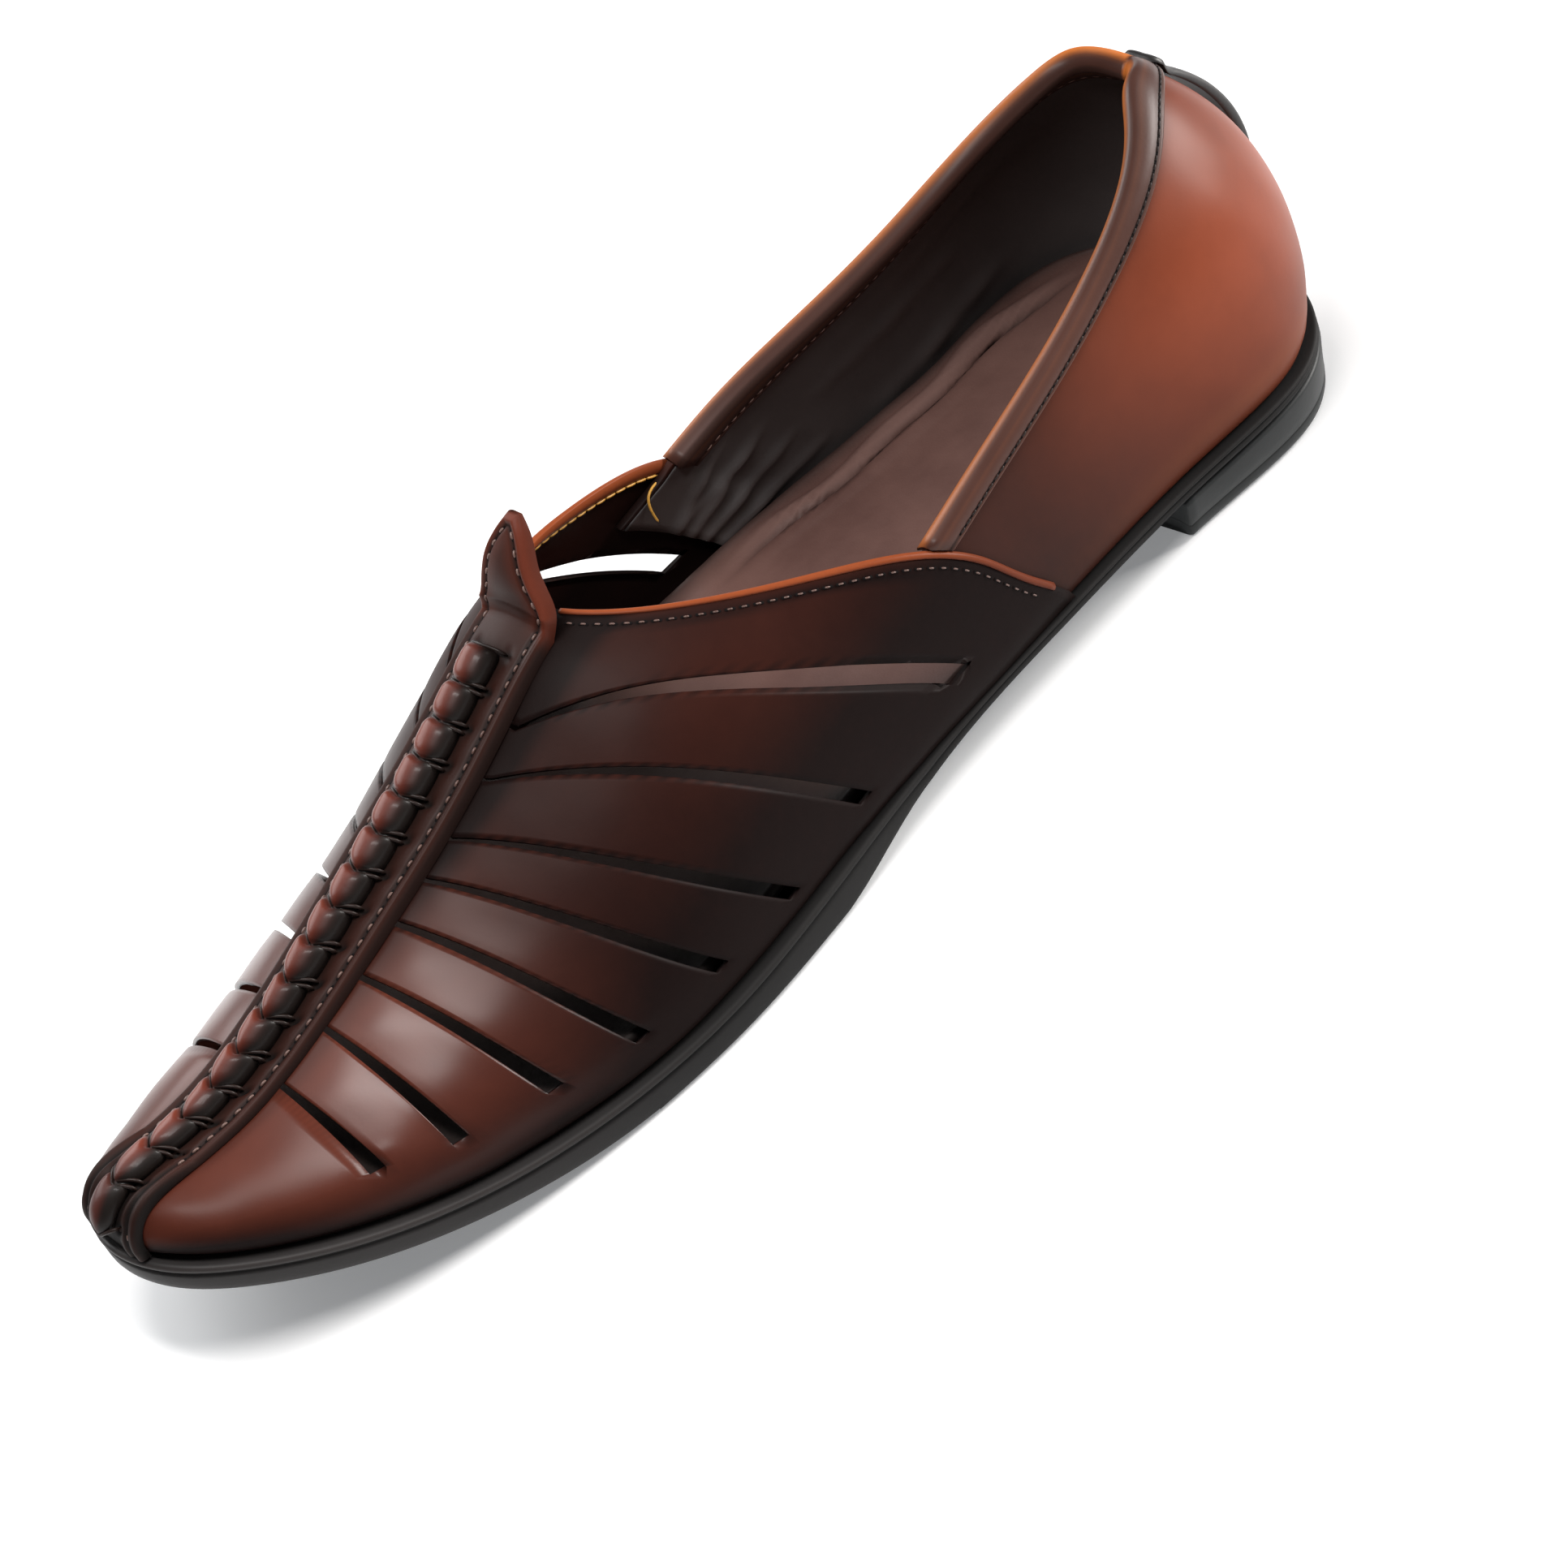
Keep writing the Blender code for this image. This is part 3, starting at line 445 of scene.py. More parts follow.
grainGroup, driftGroup, paintedLightAndWearGroup = makeGrain(), makeDrift(), makePaintedLightAndWear()
finishColumns = ("deep", "live", "rough", "grain", "coat", "coatRough", "specular", "dark", "edge", "polish")
finishDefaults = {"dark": (0, 0, 0), "edge": (0, 0, 0), "polish": 0.0}
finishRows = {  # two tones, the range of roughness, single values, then the tone under painted shade and the tone under worn edges and painted highlights
    "vampLeather": ((0.05, 0.012, 0.008), (0.13, 0.032, 0.018), (0.3, 0.4), 0.1, 0.015, 0.26, 0.065,
                    (0.007, 0.003, 0.0026), (0.3, 0.07, 0.022), 0.28),
    "quarterLeather": ((0.19, 0.038, 0.015), (0.34, 0.072, 0.028), (0.36, 0.46), 0.08, 0.02, 0.3, 0.12,
                       (0.012, 0.0045, 0.0036), (0.45, 0.13, 0.05), 0.18),
    "strapLeather": ((0.017, 0.0062, 0.0044), (0.04, 0.012, 0.008), (0.42, 0.55), 0.1, 0.02, 0.3, 0.12,
                     (0.006, 0.004, 0.0035), (0.15, 0.03, 0.014)),
    "braidLeather": ((0.045, 0.0082, 0.0056), (0.12, 0.022, 0.0125), (0.3, 0.4), 0.12, 0.1, 0.18, 0.2,
                     (0.008, 0.005, 0.004), (0.24, 0.05, 0.024)),
    "bindingLeather": ((0.048, 0.021, 0.016), (0.09, 0.036, 0.026), (0.36, 0.46), 0.08, 0.04, 0.25, 0.2,
                       (0.012, 0.008, 0.007), (0.52, 0.15, 0.03)),
    "cutLeather": ((0.02, 0.01, 0.008), (0.036, 0.016, 0.012), (0.55, 0.7), 0.25, 0.0, 0.3, 0.5,
                   (0.01, 0.006, 0.005), (0.3, 0.08, 0.03)),
    "liningLeather": ((0.042, 0.036, 0.036), (0.085, 0.073, 0.071), (0.38, 0.52), 0.14, 0.1, 0.3, 0.5,
                      (0.005, 0.004, 0.004), (0.3, 0.06, 0.02)),
    "sockLeather": ((0.085, 0.04, 0.034), (0.25, 0.135, 0.112), (0.42, 0.58), 0.35, 0.1, 0.35, 0.25,
                    (0.014, 0.009, 0.008), (0.36, 0.22, 0.19)),
    "blackLeather": ((0.008, 0.007, 0.007), (0.02, 0.018, 0.018), (0.42, 0.55), 0.3, 0.05, 0.3, 0.5),
    "soleRubber": ((0.017, 0.0155, 0.0155), (0.034, 0.031, 0.0305), (0.42, 0.55), 0.18, 0.0, 0.3, 0.2,
                   (0.006, 0.006, 0.006), (0.042, 0.035, 0.03325)),
    "heelRubber": ((0.0189, 0.02025, 0.0207), (0.03825, 0.0414, 0.04185), (0.36, 0.5), 0.15, 0.0, 0.3, 0.2,
                   (0.008, 0.008, 0.008)),
    "darkThread": ((0.006, 0.004, 0.0035), (0.026, 0.013, 0.01), (0.4, 0.55), 0.2, 0.1, 0.3, 0.2),
    "paleThread": ((0.075, 0.036, 0.028), (0.19, 0.115, 0.095), (0.4, 0.55), 0.2, 0.1, 0.3, 0.5),
    "rosyThread": ((0.2, 0.12, 0.1), (0.42, 0.27, 0.23), (0.5, 0.65), 0.2, 0.0, 0.3, 0.5),
    "yellowThread": ((0.62, 0.3, 0.045), (0.9, 0.5, 0.1), (0.4, 0.55), 0.2, 0.1, 0.3, 0.5),
    # dark discs of painted shade for the inside of needle holes
    "needleHoleShade": ((0.003, 0.002, 0.002), (0.006, 0.004, 0.004), (0.7, 0.9), 0.05, 0.0, 0.3, 0.1),
}
finishShared = {
    "driftScale": 26.0, "shade": {"Break Up": 0.05, "Scale": 400.0}, "shadeDulls": 0.22, "grainDepth": 0.0004,
}


def mixColour(tree, factor, first, second):  # each colour is a socket or three values
    first, second = (end if isinstance(end, bpy.types.NodeSocket) else (*end, 1) for end in (first, second))
    return addNode(tree, "Mix", {0: factor, 6: first, 7: second}, data_type="RGBA").outputs[2]


def makeFinish(name):
    look, shared = {**finishDefaults, **dict(zip(finishColumns, finishRows[name]))}, finishShared
    material = bpy.data.materials.new(name)
    material.use_nodes = True
    tree = material.node_tree

    def effect(group, **sources):
        return addNode(tree, "Group", sources, node_tree=group).outputs[0]

    def mark(name):
        return addNode(tree, "Attribute", attribute_name=name).outputs["Fac"]

    tone = effect(driftGroup, Scale=shared["driftScale"])
    # the edge tone goes on worn edges and painted highlights, the dark tone on painted shade
    wear = effect(paintedLightAndWearGroup, Mark=mark("wearAndHighlightMark"))
    shade = effect(paintedLightAndWearGroup, Mark=mark("shadeMark"), **shared["shade"])
    colour = mixColour(tree, wear, mixColour(tree, tone, look["deep"], look["live"]), look["edge"])
    low, high = look["rough"]
    rough = calculate(tree, "MULTIPLY_ADD", tone, high - low, low)
    relief = {"Height": effect(grainGroup), "Strength": look["grain"], "Distance": shared["grainDepth"]}
    setInputs(tree, tree.nodes["Principled BSDF"], {
        "Base Color": mixColour(tree, shade, colour, look["dark"]),
        "Roughness": calculate(tree, "MULTIPLY_ADD", shade, shared["shadeDulls"], rough),
        "Normal": addNode(tree, "Bump", relief).outputs["Normal"],
        "Coat Weight": calculate(tree, "MULTIPLY_ADD", mark("glossMark"), look["polish"], look["coat"]),
        "Coat Roughness": look["coatRough"], "Specular IOR Level": look["specular"],
    })
    return material


finish = {name: makeFinish(name) for name in finishRows}
print("finishes made")


def sideRings(form, places, levelsAt):  # rings down the left side, under, up the right side and over
    rings = []
    for t in places:
        levels = levelsAt(t)
        left = [edgePoint(t, 1, out, z) for z, out in levels]
        right = [edgePoint(t, -1, out, z) for z, out in reversed(levels)]
        under = [left[-1] * (1 - share) + right[0] * share for share in form["under"]]
        over = [right[-1] * (1 - share) + left[0] * share for share in form["over"]]
        rings.append(np.array(left + under + right + over))
    level = list(range(len(levels)))
    return rings, np.array(level + [-1] * len(under) + level[::-1] + [-1] * len(over))


# Outsole: a thin sole with a lip under the upper, a groove and a plain side.
def soleLevels(t):
    edge, feather = float(soleCurve["edge"](t)), float(lastCurve["feather"](t))
    top, low = feather - 0.3, max(feather - float(soleCurve["thickness"](t)), 0.0)
    if soleForm["flat"][0] < distance(t) < soleForm["flat"][1]:
        low = 0.0
    scale = min(1.0, (top - low - 1.0) / soleForm["sideDepth"])
    levels = [(top + drop * scale, edge + out) for drop, out in soleForm["side"]]
    levels.append((low + (levels[-1][0] - low) * 0.5, edge))
    return levels + [(low + rise, edge + out) for rise, out in soleForm["rim"]]


def makeOutsole():
    places = sorted([*np.linspace(0, 1, soleForm["stations"]), *station(np.array(soleForm["flat"]))])
    rings, level = sideRings(soleForm, places, soleLevels)
    rings = np.array(rings)
    # painted highlight: a lighter line along the lip
    edge = np.isin(level, soleForm["lip"]) * soleForm["lipGlint"]
    shade = np.isin(level, soleForm["groove"]) * soleForm["grooveShade"]
    shade = shade + maskSum(soleForm["shade"], x=rings[..., 0])
    finishPiece(gridPiece("outsoleBody", rings, edge, shade, closed=True), ["soleRubber"], "sole", "outsole")


makeOutsole()
print("outsole made")

heelForm = {
    "breast": 63.5, "taper": 1.2, "stations": 60, "waist": 0.55, "groove": 6, "grooveShade": 0.7,
    "top": [(0.0, -1.2), (-0.15, -0.5), (-0.5, -0.1), (-0.9, 0.0)],  # height from the sole, distance outside the edge
    "side": [  # height over the floor, share of the taper, distance further in
        (2.9, 0.78, 0.0), (2.6, 0.8, 0.22), (2.3, 0.82, 0.0), (0.9, 1.0, 0.0),
        (0.35, 1.0, 0.25), (0.1, 1.0, 0.6), (0.0, 1.0, 1.2),
    ],
    "under": (0.2, 0.5, 0.8), "over": (0.2, 0.5, 0.8, 1.0),
    "breastRings": [(0.985, 0.25), (0.9, -0.24), (0.0, -1.6)],  # size, forward: a soft edge, then a shallow hollow
}


def heelLevels(t):
    edge, taper = float(soleCurve["edge"](t)), heelForm["taper"]
    top = max(float(lastCurve["feather"](t) - soleCurve["thickness"](t)), 0.0) - 0.25
    levels = [(top + drop, edge + out) for drop, out in heelForm["top"]]
    levels.append((top * 0.5, edge - taper * heelForm["waist"]))
    return levels + [(z, edge - taper * share - further) for z, share, further in heelForm["side"]]


def makeHeel():
    places = np.linspace(0, float(station(heelForm["breast"])), heelForm["stations"])
    rings, level = sideRings(heelForm, places, heelLevels)
    face = rings[-1]
    for size, forward in heelForm["breastRings"]:
        ring = face.mean(axis=0) + (face - face.mean(axis=0)) * size
        ring[:, 0] = face[:, 0] + forward
        rings.append(ring if size else ring * 0 + ring.mean(axis=0))
    shade = (level == heelForm["groove"]) * heelForm["grooveShade"]
    finishPiece(gridPiece("heelBlock", np.array(rings), 0.0, shade, closed=True), ["heelRubber"], "heel", "heel")


makeHeel()
print("heel made")

# Sock: a soft insole that has crept into two long folds beside the outer wall.
sockForm = {
    "ends": (0.03, 0.985), "stations": 170, "across": 70, "inset": 3.0, "toeInset": 6.0,
    "level": 2.4, "thickness": 2.0,
    "run": (14.0, 39.0, 96.0, 126.0), "secondRun": (40, 60),  # where the folds rise and fade
    "wander": [(1.2, 11.0, 0.0), (0.7, 4.7, 1.0)],  # sideways, wave length, start
    "folds": [  # height, distance from the right edge, share of the wander, width
        (1.5, 6.2, 1.0, 1.9), (0.9, 10.6, 0.6, 1.3), (-0.5, 8.6, 0.8, 0.9),
    ],
    "leftFold": (0.5, 4.5, 1.8), "dents": [(0.22, 16.0, 0.7), (0.06, 4.0, 1.9)],
    "curl": (1.5, 1.2, 2.2), "sideShade": (0.8, 0.6, 3.0),  # at the right edge, at the left edge, width
    # wear here is a painted highlight on the first fold's crest: amount and width
    "troughShade": 0.75, "frontShade": [(0.92, ("x", 125, 165))], "wear": (0.45, 1.2),
}


def makeSock():
    form = sockForm
    t = np.linspace(*form["ends"], form["stations"])[:, None]
    x, level = distance(t), lastCurve["feather"](t) + 0.1
    inset = form["inset"] + (form["toeInset"] - form["inset"]) * np.maximum(0, t - 0.7) / 0.3
    left, right = edgePoint(t, 1, -inset, level), edgePoint(t, -1, -inset, level)
    share = np.linspace(0, 1, form["across"])
    points = left * (1 - share[:, None]) + right * share[:, None]
    width = np.linalg.norm(left - right, axis=-1)
    fromRight, fromLeft = (1 - share) * width, share * width

    def besideEdges(right, left, wide):
        return right * np.exp(-fromRight / wide) + left * np.exp(-fromLeft / wide)

    rise, full, fade, end = form["run"]
    run = smooth(x, rise, full) * (1 - smooth(x, fade, end))
    wander = sum(aside * np.sin(x / wave + start) for aside, wave, start in form["wander"])
    first, second, trough = (bump(fromRight, place + part * wander, wide) for _, place, part, wide in form["folds"])
    tall = [fold[0] for fold in form["folds"]]
    fold = tall[0] * first * run + tall[1] * second * (run * smooth(x, *form["secondRun"])) + tall[2] * trough * run
    height, place, wide = form["leftFold"]
    fold += height * bump(fromLeft, place, wide) * run * (0.6 + 0.4 * np.sin(x / 7.0))
    points[..., 2] += form["level"] + fold + besideEdges(*form["curl"]) + softDents(points, form["dents"])
    # painted shade in the fold's trough, along both edges and under the forepart; painted highlight on the first fold's
    # crest
    shade = form["troughShade"] * trough * run + besideEdges(*form["sideShade"]) + maskSum(form["frontShade"], x=x)
    edge = form["wear"][0] * bump(fromRight, form["folds"][0][1] + wander, form["wear"][1]) * run
    piece = gridPiece("sockLining", points[:, ::-1], edge[:, ::-1], shade[:, ::-1])
    applyModifier(piece, "SOLIDIFY", thickness=form["thickness"] / 1000, offset=-1)
    finishPiece(piece, ["sockLeather"], "sock", "insole")


makeSock()
print("sock made")

# Vamp: one sheet over the forepart, slit from the strap towards the sole, each strip a little crowned.
vampForm = {
    "offset": 0.4, "wall": 1.05, "edgeRadius": 0.22, "fan": 75.0, "strapClearance": 1.2, "tipRoom": 12.0,
    "stripCrown": 0.12, "toeCrown": 0.3, "turnUnder": 0.8, "endRise": 0.10, "topEnd": 7.0, "toeEnd": 34.0,
    "topline": [(0, 93.6), (8, 101.2), (20, 108.8), (35, 121.8), (50, 140.9), (65, 158.5), (80, 167.7), (90, 170.0)],
    "slits": [  # strap x, feather x, bow, left end, right end, tip width, end width
        (188.0, 116.0, 0.09, 6.5, 6.0, 0.6, 7.4), (197.3, 147.5, 0.12, 5.0, 4.5, 0.5, 3.2),
        (208.0, 169.5, 0.26, 5.0, 4.0, 0.6, 2.8), (215.6, 187.0, 0.30, 9.0, 5.0, 0.8, 2.8),
        (223.8, 206.0, 0.30, 12.0, 7.0, 1.0, 3.0), (234.0, 223.0, 0.30, 17.0, 9.5, 1.0, 3.0),
        (244.0, 242.5, 0.30, 21.0, 14.0, 1.0, 3.0), (255.4, 256.0, 0.30, 28.0, 20.0, 1.0, 2.8),
    ],
    "rowsBetween": [11, 10, 8, 7, 7, 7, 8, 9, 24], "steps": (5, 44, 4),  # steps in the band, the fan and the crown
    "dents": [(0.20, 21.0, 0.4), (0.07, 8.0, 2.1)],  # height, wave length, seed
    "wear": [(0.5, ("top", 1.3, 0.7))],
    "shade": [
        (0.55, ("side", 9.0, 2.0), ("x", 90, 110)), (0.35, ("side", 66, 74)), (0.35, ("top", 2.9, 0.6, "peak")),
        (0.80, ("x", 252, 196)), (0.25, ("slit", 0.9, 0.1)), (0.50, ("side", 36, 6), ("x", 205, 250)),
        (0.35, ("side", 52, 0)), (-0.16, ("side", 44, 18, "peak"), ("x", 154, 26, "peak")), (0.25, ("x", 255, 280)),
    ],
    "gloss": [(1.0, ("x", 200, 240), ("side", 6, 18))], "glossFades": [(0.80, ("x", 250, 272))],
    "glossRises": [(0.35, ("x", 243, 14, "peak"))], "rightGloss": [(1.6, ("angle", 96, 128), ("x", 178, 205))],
}
strapForm = {
    "names": ("x", "halfWidth", "thickness"),
    "rows": [
        (160, 8.7, 2.2), (170, 8.6, 2.4), (186, 8.7, 2.8), (205, 8.9, 2.8),
        (225, 8.7, 2.6), (245, 8.6, 1.8), (265, 8.0, 1.2), (290, 8.0, 0.9),
    ],
    "offset": 0.55, "start": 173.5, "stations": 210, "across": 65, "tabStations": 46,
    "tab": [  # x, z, half width, thickness, sideways
        (171.7, 64.0, 9.3, 2.3, 0.3), (171.0, 67.4, 8.1, 2.3, 0.1), (169.6, 70.8, 6.4, 2.3, -0.1),
        (167.6, 73.7, 4.9, 2.2, 0.3), (166.0, 76.2, 3.3, 1.9, 0.8), (164.9, 78.3, 1.5, 1.4, 1.1),
    ],
    "bead": (0.30, 1.0, 0.55), "seam": (0.42, 0.36), "trough": (0.75, 3.9),  # heights, places and widths
    "hole": (0.75, 3.7, 0.85, 0.75), "pucker": (0.10, 4.9, 1.3), "lobe": (0.9, 14), "stitchIn": 2.3, "rounding": 1.2,
    "wear": [
        (0.04, ("inward", 0.7, 0.75, "peak")), (0.50, ("inward", 0.7, 0.75, "peak"), ("start", 4, -2)),
        (0.16, ("start", 4, -2), ("inward", 6, 3)),
    ],
    "shade": [
        (0.85, ("seam", 0, 0.4, "peak")), (0.45, ("end", 15, 4)), (0.7, ("inward", 1.1, 0.1), ("start", -2, 4)),
    ],
    "toeWear": [(1.0,), (-0.5, ("end", 15, 4))], "holeShade": 0.9, "troughShade": 0.75,
}
toplineX = naturalSpline(*zip(*vampForm["topline"]))
strapCurve = curvesOf(strapForm["names"], strapForm["rows"])


def guideStation(guide, angle):  # 0 is the top edge, 1 to 8 the slits, 9 the toe
    aside = np.minimum(angle, 180 - angle)
    if guide == 0:
        return station(toplineX(aside))
    if guide > len(vampForm["slits"]):
        return np.ones_like(aside)
    strapX, featherX, bow = vampForm["slits"][guide - 1][:3]
    share = np.clip((vampForm["fan"] - aside) / vampForm["fan"], 0, 1)
    return station(strapX - (strapX - featherX) * (share + bow * share * (share - 1)))


def lineStation(line, angle):
    before = int(min(math.floor(line), len(vampForm["slits"])))
    share = line - before
    return guideStation(before, angle) * (1 - share) + guideStation(before + 1, angle) * share


def vampAngles(line):
    t = lineStation(line, np.array([vampForm["fan"]]))[0]
    aside = strapCurve["halfWidth"](t) - vampForm["strapClearance"]
    sides = []
    for column, sign in ((3, 1), (4, -1)):
        ends = [vampForm["topEnd"]] + [slit[column] for slit in vampForm["slits"]] + [vampForm["toeEnd"]]
        end = float(np.interp(line, range(len(ends)), ends))
        tip = float(angleBesideCrown(t, sign * aside))
        tip = max(tip if sign > 0 else 180 - tip, end + vampForm["tipRoom"])
        parts = zip((0, end, tip), (end, tip, 90), vampForm["steps"])
        sides.append([low + (high - low) * step / steps for low, high, steps in parts for step in range(steps)])
    return np.array(sides[0] + [90.0] + [180 - angle for angle in reversed(sides[1])])


def vampLines():  # place between the guides, number of the slit, -1 or 1 for the slit's two lips
    lines = []
    for guide, count in enumerate(vampForm["rowsBetween"]):
        lines += [(float(guide), guide, -1), (float(guide), guide, 1)] if guide else [(0.0, 0, 0)]
        spread = np.linspace(0, 1, count + 1)[1:]
        spread = spread[:-1] if guide < len(vampForm["slits"]) else 1 - (1 - spread) ** 1.35
        lines += [(guide + float(share), 0, 0) for share in spread]
    return lines


def vampGrid(lines, fromSide):  # stations, angles and the crown of every strip
    band, fan, _ = vampForm["steps"]
    share = (band + fan - fromSide) / fan
    held = smooth(share, 0.0, 0.25) * (1 - smooth(share, 1.0, 1.1))
    stations, angles, crowns = [], [], []
    for line, slit, lip in lines:
        angle = vampAngles(line)
        t = lineStation(line, angle)
        if slit:
            tipWidth, endWidth = vampForm["slits"][slit - 1][5:]
            half = np.where((fromSide < band) | (share < 0), 0.0, (tipWidth * (1 - share) + endWidth * share) / 2)
            t = t + lip * half * 0.002 / (distance(t + 0.001) - distance(t - 0.001))
        along = line - math.floor(line)
        crown = vampForm["stripCrown"] * math.sin(math.pi * along) if line >= 1 else 0.0
        if line >= len(vampForm["slits"]):
            crown = vampForm["toeCrown"] * math.sin(math.pi * min(along * 3, 1.0))
        stations.append(t)
        angles.append(angle)
        crowns.append(crown * held)
    return np.array(stations), np.array(angles), np.array(crowns)


def makeVamp():
    band, fan, crown = vampForm["steps"]
    columns = np.arange(2 * (band + fan + crown) + 1)
    fromSide = np.minimum(columns, columns[::-1])
    lines = vampLines()
    t, angle, relief = vampGrid(lines, fromSide)
    side = np.minimum(angle, 180 - angle)
    skin = lastPoint(t, angle, vampForm["offset"])
    topline = skin[0]
    fromTop = nearest(skin, topline)
    relief += softDents(skin, vampForm["dents"]) * smooth(fromTop, 0.5, 5.0)
    relief -= vampForm["turnUnder"] * np.clip(1 - side / 3.0, 0, 1) ** 2  # the feather edge turns under
    slitLines = skin[[row for row, line in enumerate(lines) if line[1]]]
    fromSlit = nearest(skin, slitLines[:, fromSide >= band].reshape(-1, 3)[::2])
    fromEnd = nearest(skin, slitLines[:, [band, -1 - band]].reshape(-1, 3))
    relief += vampForm["endRise"] * bump(fromEnd, 2.4, 1.2) * (side < 40)
    skin = lastPoint(t, angle, vampForm["offset"] + relief)
    inner = lastPoint(t, angle, vampForm["offset"] + 0.8 * relief - vampForm["wall"])
    skin[-1], inner[-1] = skin[-1].mean(axis=0), inner[-1].mean(axis=0)  # both close at the very toe
    places = {"x": skin[..., 0], "side": side, "angle": angle, "top": fromTop, "slit": fromSlit}
    keys = ("wear", "shade", "gloss", "glossFades", "glossRises", "rightGloss")
    wear, shade, gloss, fades, rises, right = (maskSum(vampForm[key], **places) for key in keys)
    gloss = gloss * (1 - fades) * (1 + rises) + right
    between = [line[1] > 0 and line[1] == after[1] for line, after in zip(lines, lines[1:])]
    cells = np.minimum(columns[:-1], columns[-2::-1])
    cut = np.outer(between, (cells >= band) & (cells < band + fan))
    piece = gridPiece("vampShell", skin, wear, shade, gloss, inner, cut=cut)
    giveWall(piece, vampForm["wall"], vampForm["edgeRadius"])
    finishPiece(piece, ["vampLeather", "liningLeather", "cutLeather"], "leather", "upper")


makeVamp()
print("vamp made")

# Quarters: the smooth rear, from wing to wing round the heel, one step lower than the vamp.
quarterForm = {
    "offset": -0.7, "wall": 1.7, "edgeRadius": 0.3, "front": (106.0, 132.0), "steps": 74, "rows": 30,
    "sunken": 0.35, "turnUnder": 1.0,
    "collar": [(0, 51.2), (17.4, 54.4), (43.5, 47.8), (72.5, 39.8), (101.5, 33.8), (130.5, 27.0), (159.5, 21.5)],
    "outerLift": [
        (0, 0), (5, 1.7), (15, 0.4), (30, -1.7), (60, -2.2), (85, -0.9), (104, 0), (115, 0), (130, 0), (160, 0),
    ],
    "dents": [(0.42, 26.0, 1.1), (0.12, 9.0, 0.3)],
    "dented": [(1.0, ("height", 1, 9), ("under", 4, 12), ("share", 0.02, 0.2), ("x", 115, 95))],
    "shades": [[(0.50, ("height", 30, 0))], [(0.88, ("x", 28, 100))], [(0.30, ("height", 22, 52))]],
    "wear": [(0.30, ("height", 4.5, 2.5, "peak"))],
    "gloss": [(0.25,), (0.75, ("x", 62, 14)), (-0.45, ("x", 62, 14), ("height", 26, 48))],
}
collarHeight = curvesOf(("x", "height"), quarterForm["collar"])["height"]
outerLift = curvesOf(("x", "lift"), quarterForm["outerLift"])["lift"]


def aroundHeel(steps):  # (side, share) from the left front end round the heel to the right one
    shares = [step / steps for step in range(steps + 1)]
    return [(1, share) for share in reversed(shares)] + [(-1, share) for share in shares[1:]]


def wallPoint(side, t, height, offset):  # a point of the rear wall, by its height over the feather edge
    angle = angleAtHeight(t, height)
    point = lastPoint(t, angle if side > 0 else 180 - angle, offset)
    if side < 0:
        point[..., 2] += outerLift(t) * np.clip(height / collarHeight(t), 0, 1.1) ** 3
    return point


def rearWall(front, rise, steps, offset):  # upright lines round the heel: side, share, station, height and unevenness
    low, high = station(np.array(front))
    for side, share in aroundHeel(steps):
        t = share * (low * (1 - rise) + high * rise)
        height = collarHeight(t) * rise
        base = wallPoint(side, t, height, offset)
        places = {"height": height, "under": collarHeight(t) - height, "share": share, "x": base[..., 0]}
        dents = softDents(base, quarterForm["dents"]) * maskSum(quarterForm["dented"], **places)
        covered = smooth(distance(t) - toplineX(angleAtHeight(t, height)), 0.5, 3.0)  # 1 under the vamp
        yield side, share, t, height, base, dents, covered


def makeQuarters():
    form = quarterForm
    skin, heights, hidden = [], [], []
    rise = np.linspace(0, 1, form["rows"] + 1)
    for side, _, t, height, _, dents, covered in rearWall(form["front"], rise, form["steps"], form["offset"]):
        turned = form["turnUnder"] * np.clip(1 - height / 3.5, 0, 1) ** 2
        skin.append(wallPoint(side, t, height, form["offset"] - turned + dents - form["sunken"] * covered))
        heights.append(height)
        hidden.append(covered)
    skin, height, hidden = np.array(skin).transpose(1, 0, 2), np.array(heights).T, np.array(hidden).T
    places = {"x": skin[..., 0], "height": height}
    shade = joined(hidden, *(maskSum(rows, **places) for rows in form["shades"]))
    wear, gloss = maskSum(form["wear"], **places), maskSum(form["gloss"], **places)
    piece = gridPiece("quarterShell", skin, wear, shade, gloss)
    giveWall(piece, form["wall"], form["edgeRadius"])
    finishPiece(piece, ["quarterLeather", "liningLeather", "cutLeather"], "leather", "upper")


makeQuarters()
print("quarters made")

liningForm = {
    "offset": -2.55, "front": (109.0, 131.8), "steps": 110, "rows": 44, "ends": (0.015, 0.97), "thickness": 0.3,
    "dents": [(0.16, 7.0, 2.6), (0.22, 18.0, 0.9)],
    "creases": [  # side, (x, height) of both ends, width, height of the fold
        (-1, (126, 9), (96, 21), 1.5, 1.3), (-1, (127, 6.5), (90, 14.5), 1.3, 1.2),
        (-1, (126, 12), (104, 26), 1.4, 1.0), (-1, (128, 4), (84, 8.5), 1.2, 1.1),
        (-1, (118, 16), (100, 19), 1.1, 0.7), (-1, (70, 6), (30, 12), 2.2, 0.8),
        (-1, (84, 19), (40, 24), 2.6, 0.6), (-1, (60, 30), (22, 38), 2.8, 0.5),
        (1, (124, 10), (92, 20), 1.5, 1.0), (1, (60, 8), (25, 14), 2.0, 0.7), (1, (100, 6), (70, 7), 1.4, 0.8),
    ],
}


def liningFold(side, x, height):  # long soft creases, highest half-way along
    fold = np.zeros(len(x))
    for creaseSide, first, second, width, tall in liningForm["creases"]:
        if creaseSide == side:
            run = np.array(second, float) - first
            place = np.clip(((x - first[0]) * run[0] + (height - first[1]) * run[1]) / (run @ run), 0, 1)
            gap = np.hypot(x - first[0] - run[0] * place, height - first[1] - run[1] * place)
            ends = np.sin(math.pi * np.clip(place, 0.02, 0.98)) ** 0.5
            fold += tall * bump(gap, 0, width) * ends * (1 + 0.25 * np.sin(place * 17 + tall * 9))
    return fold


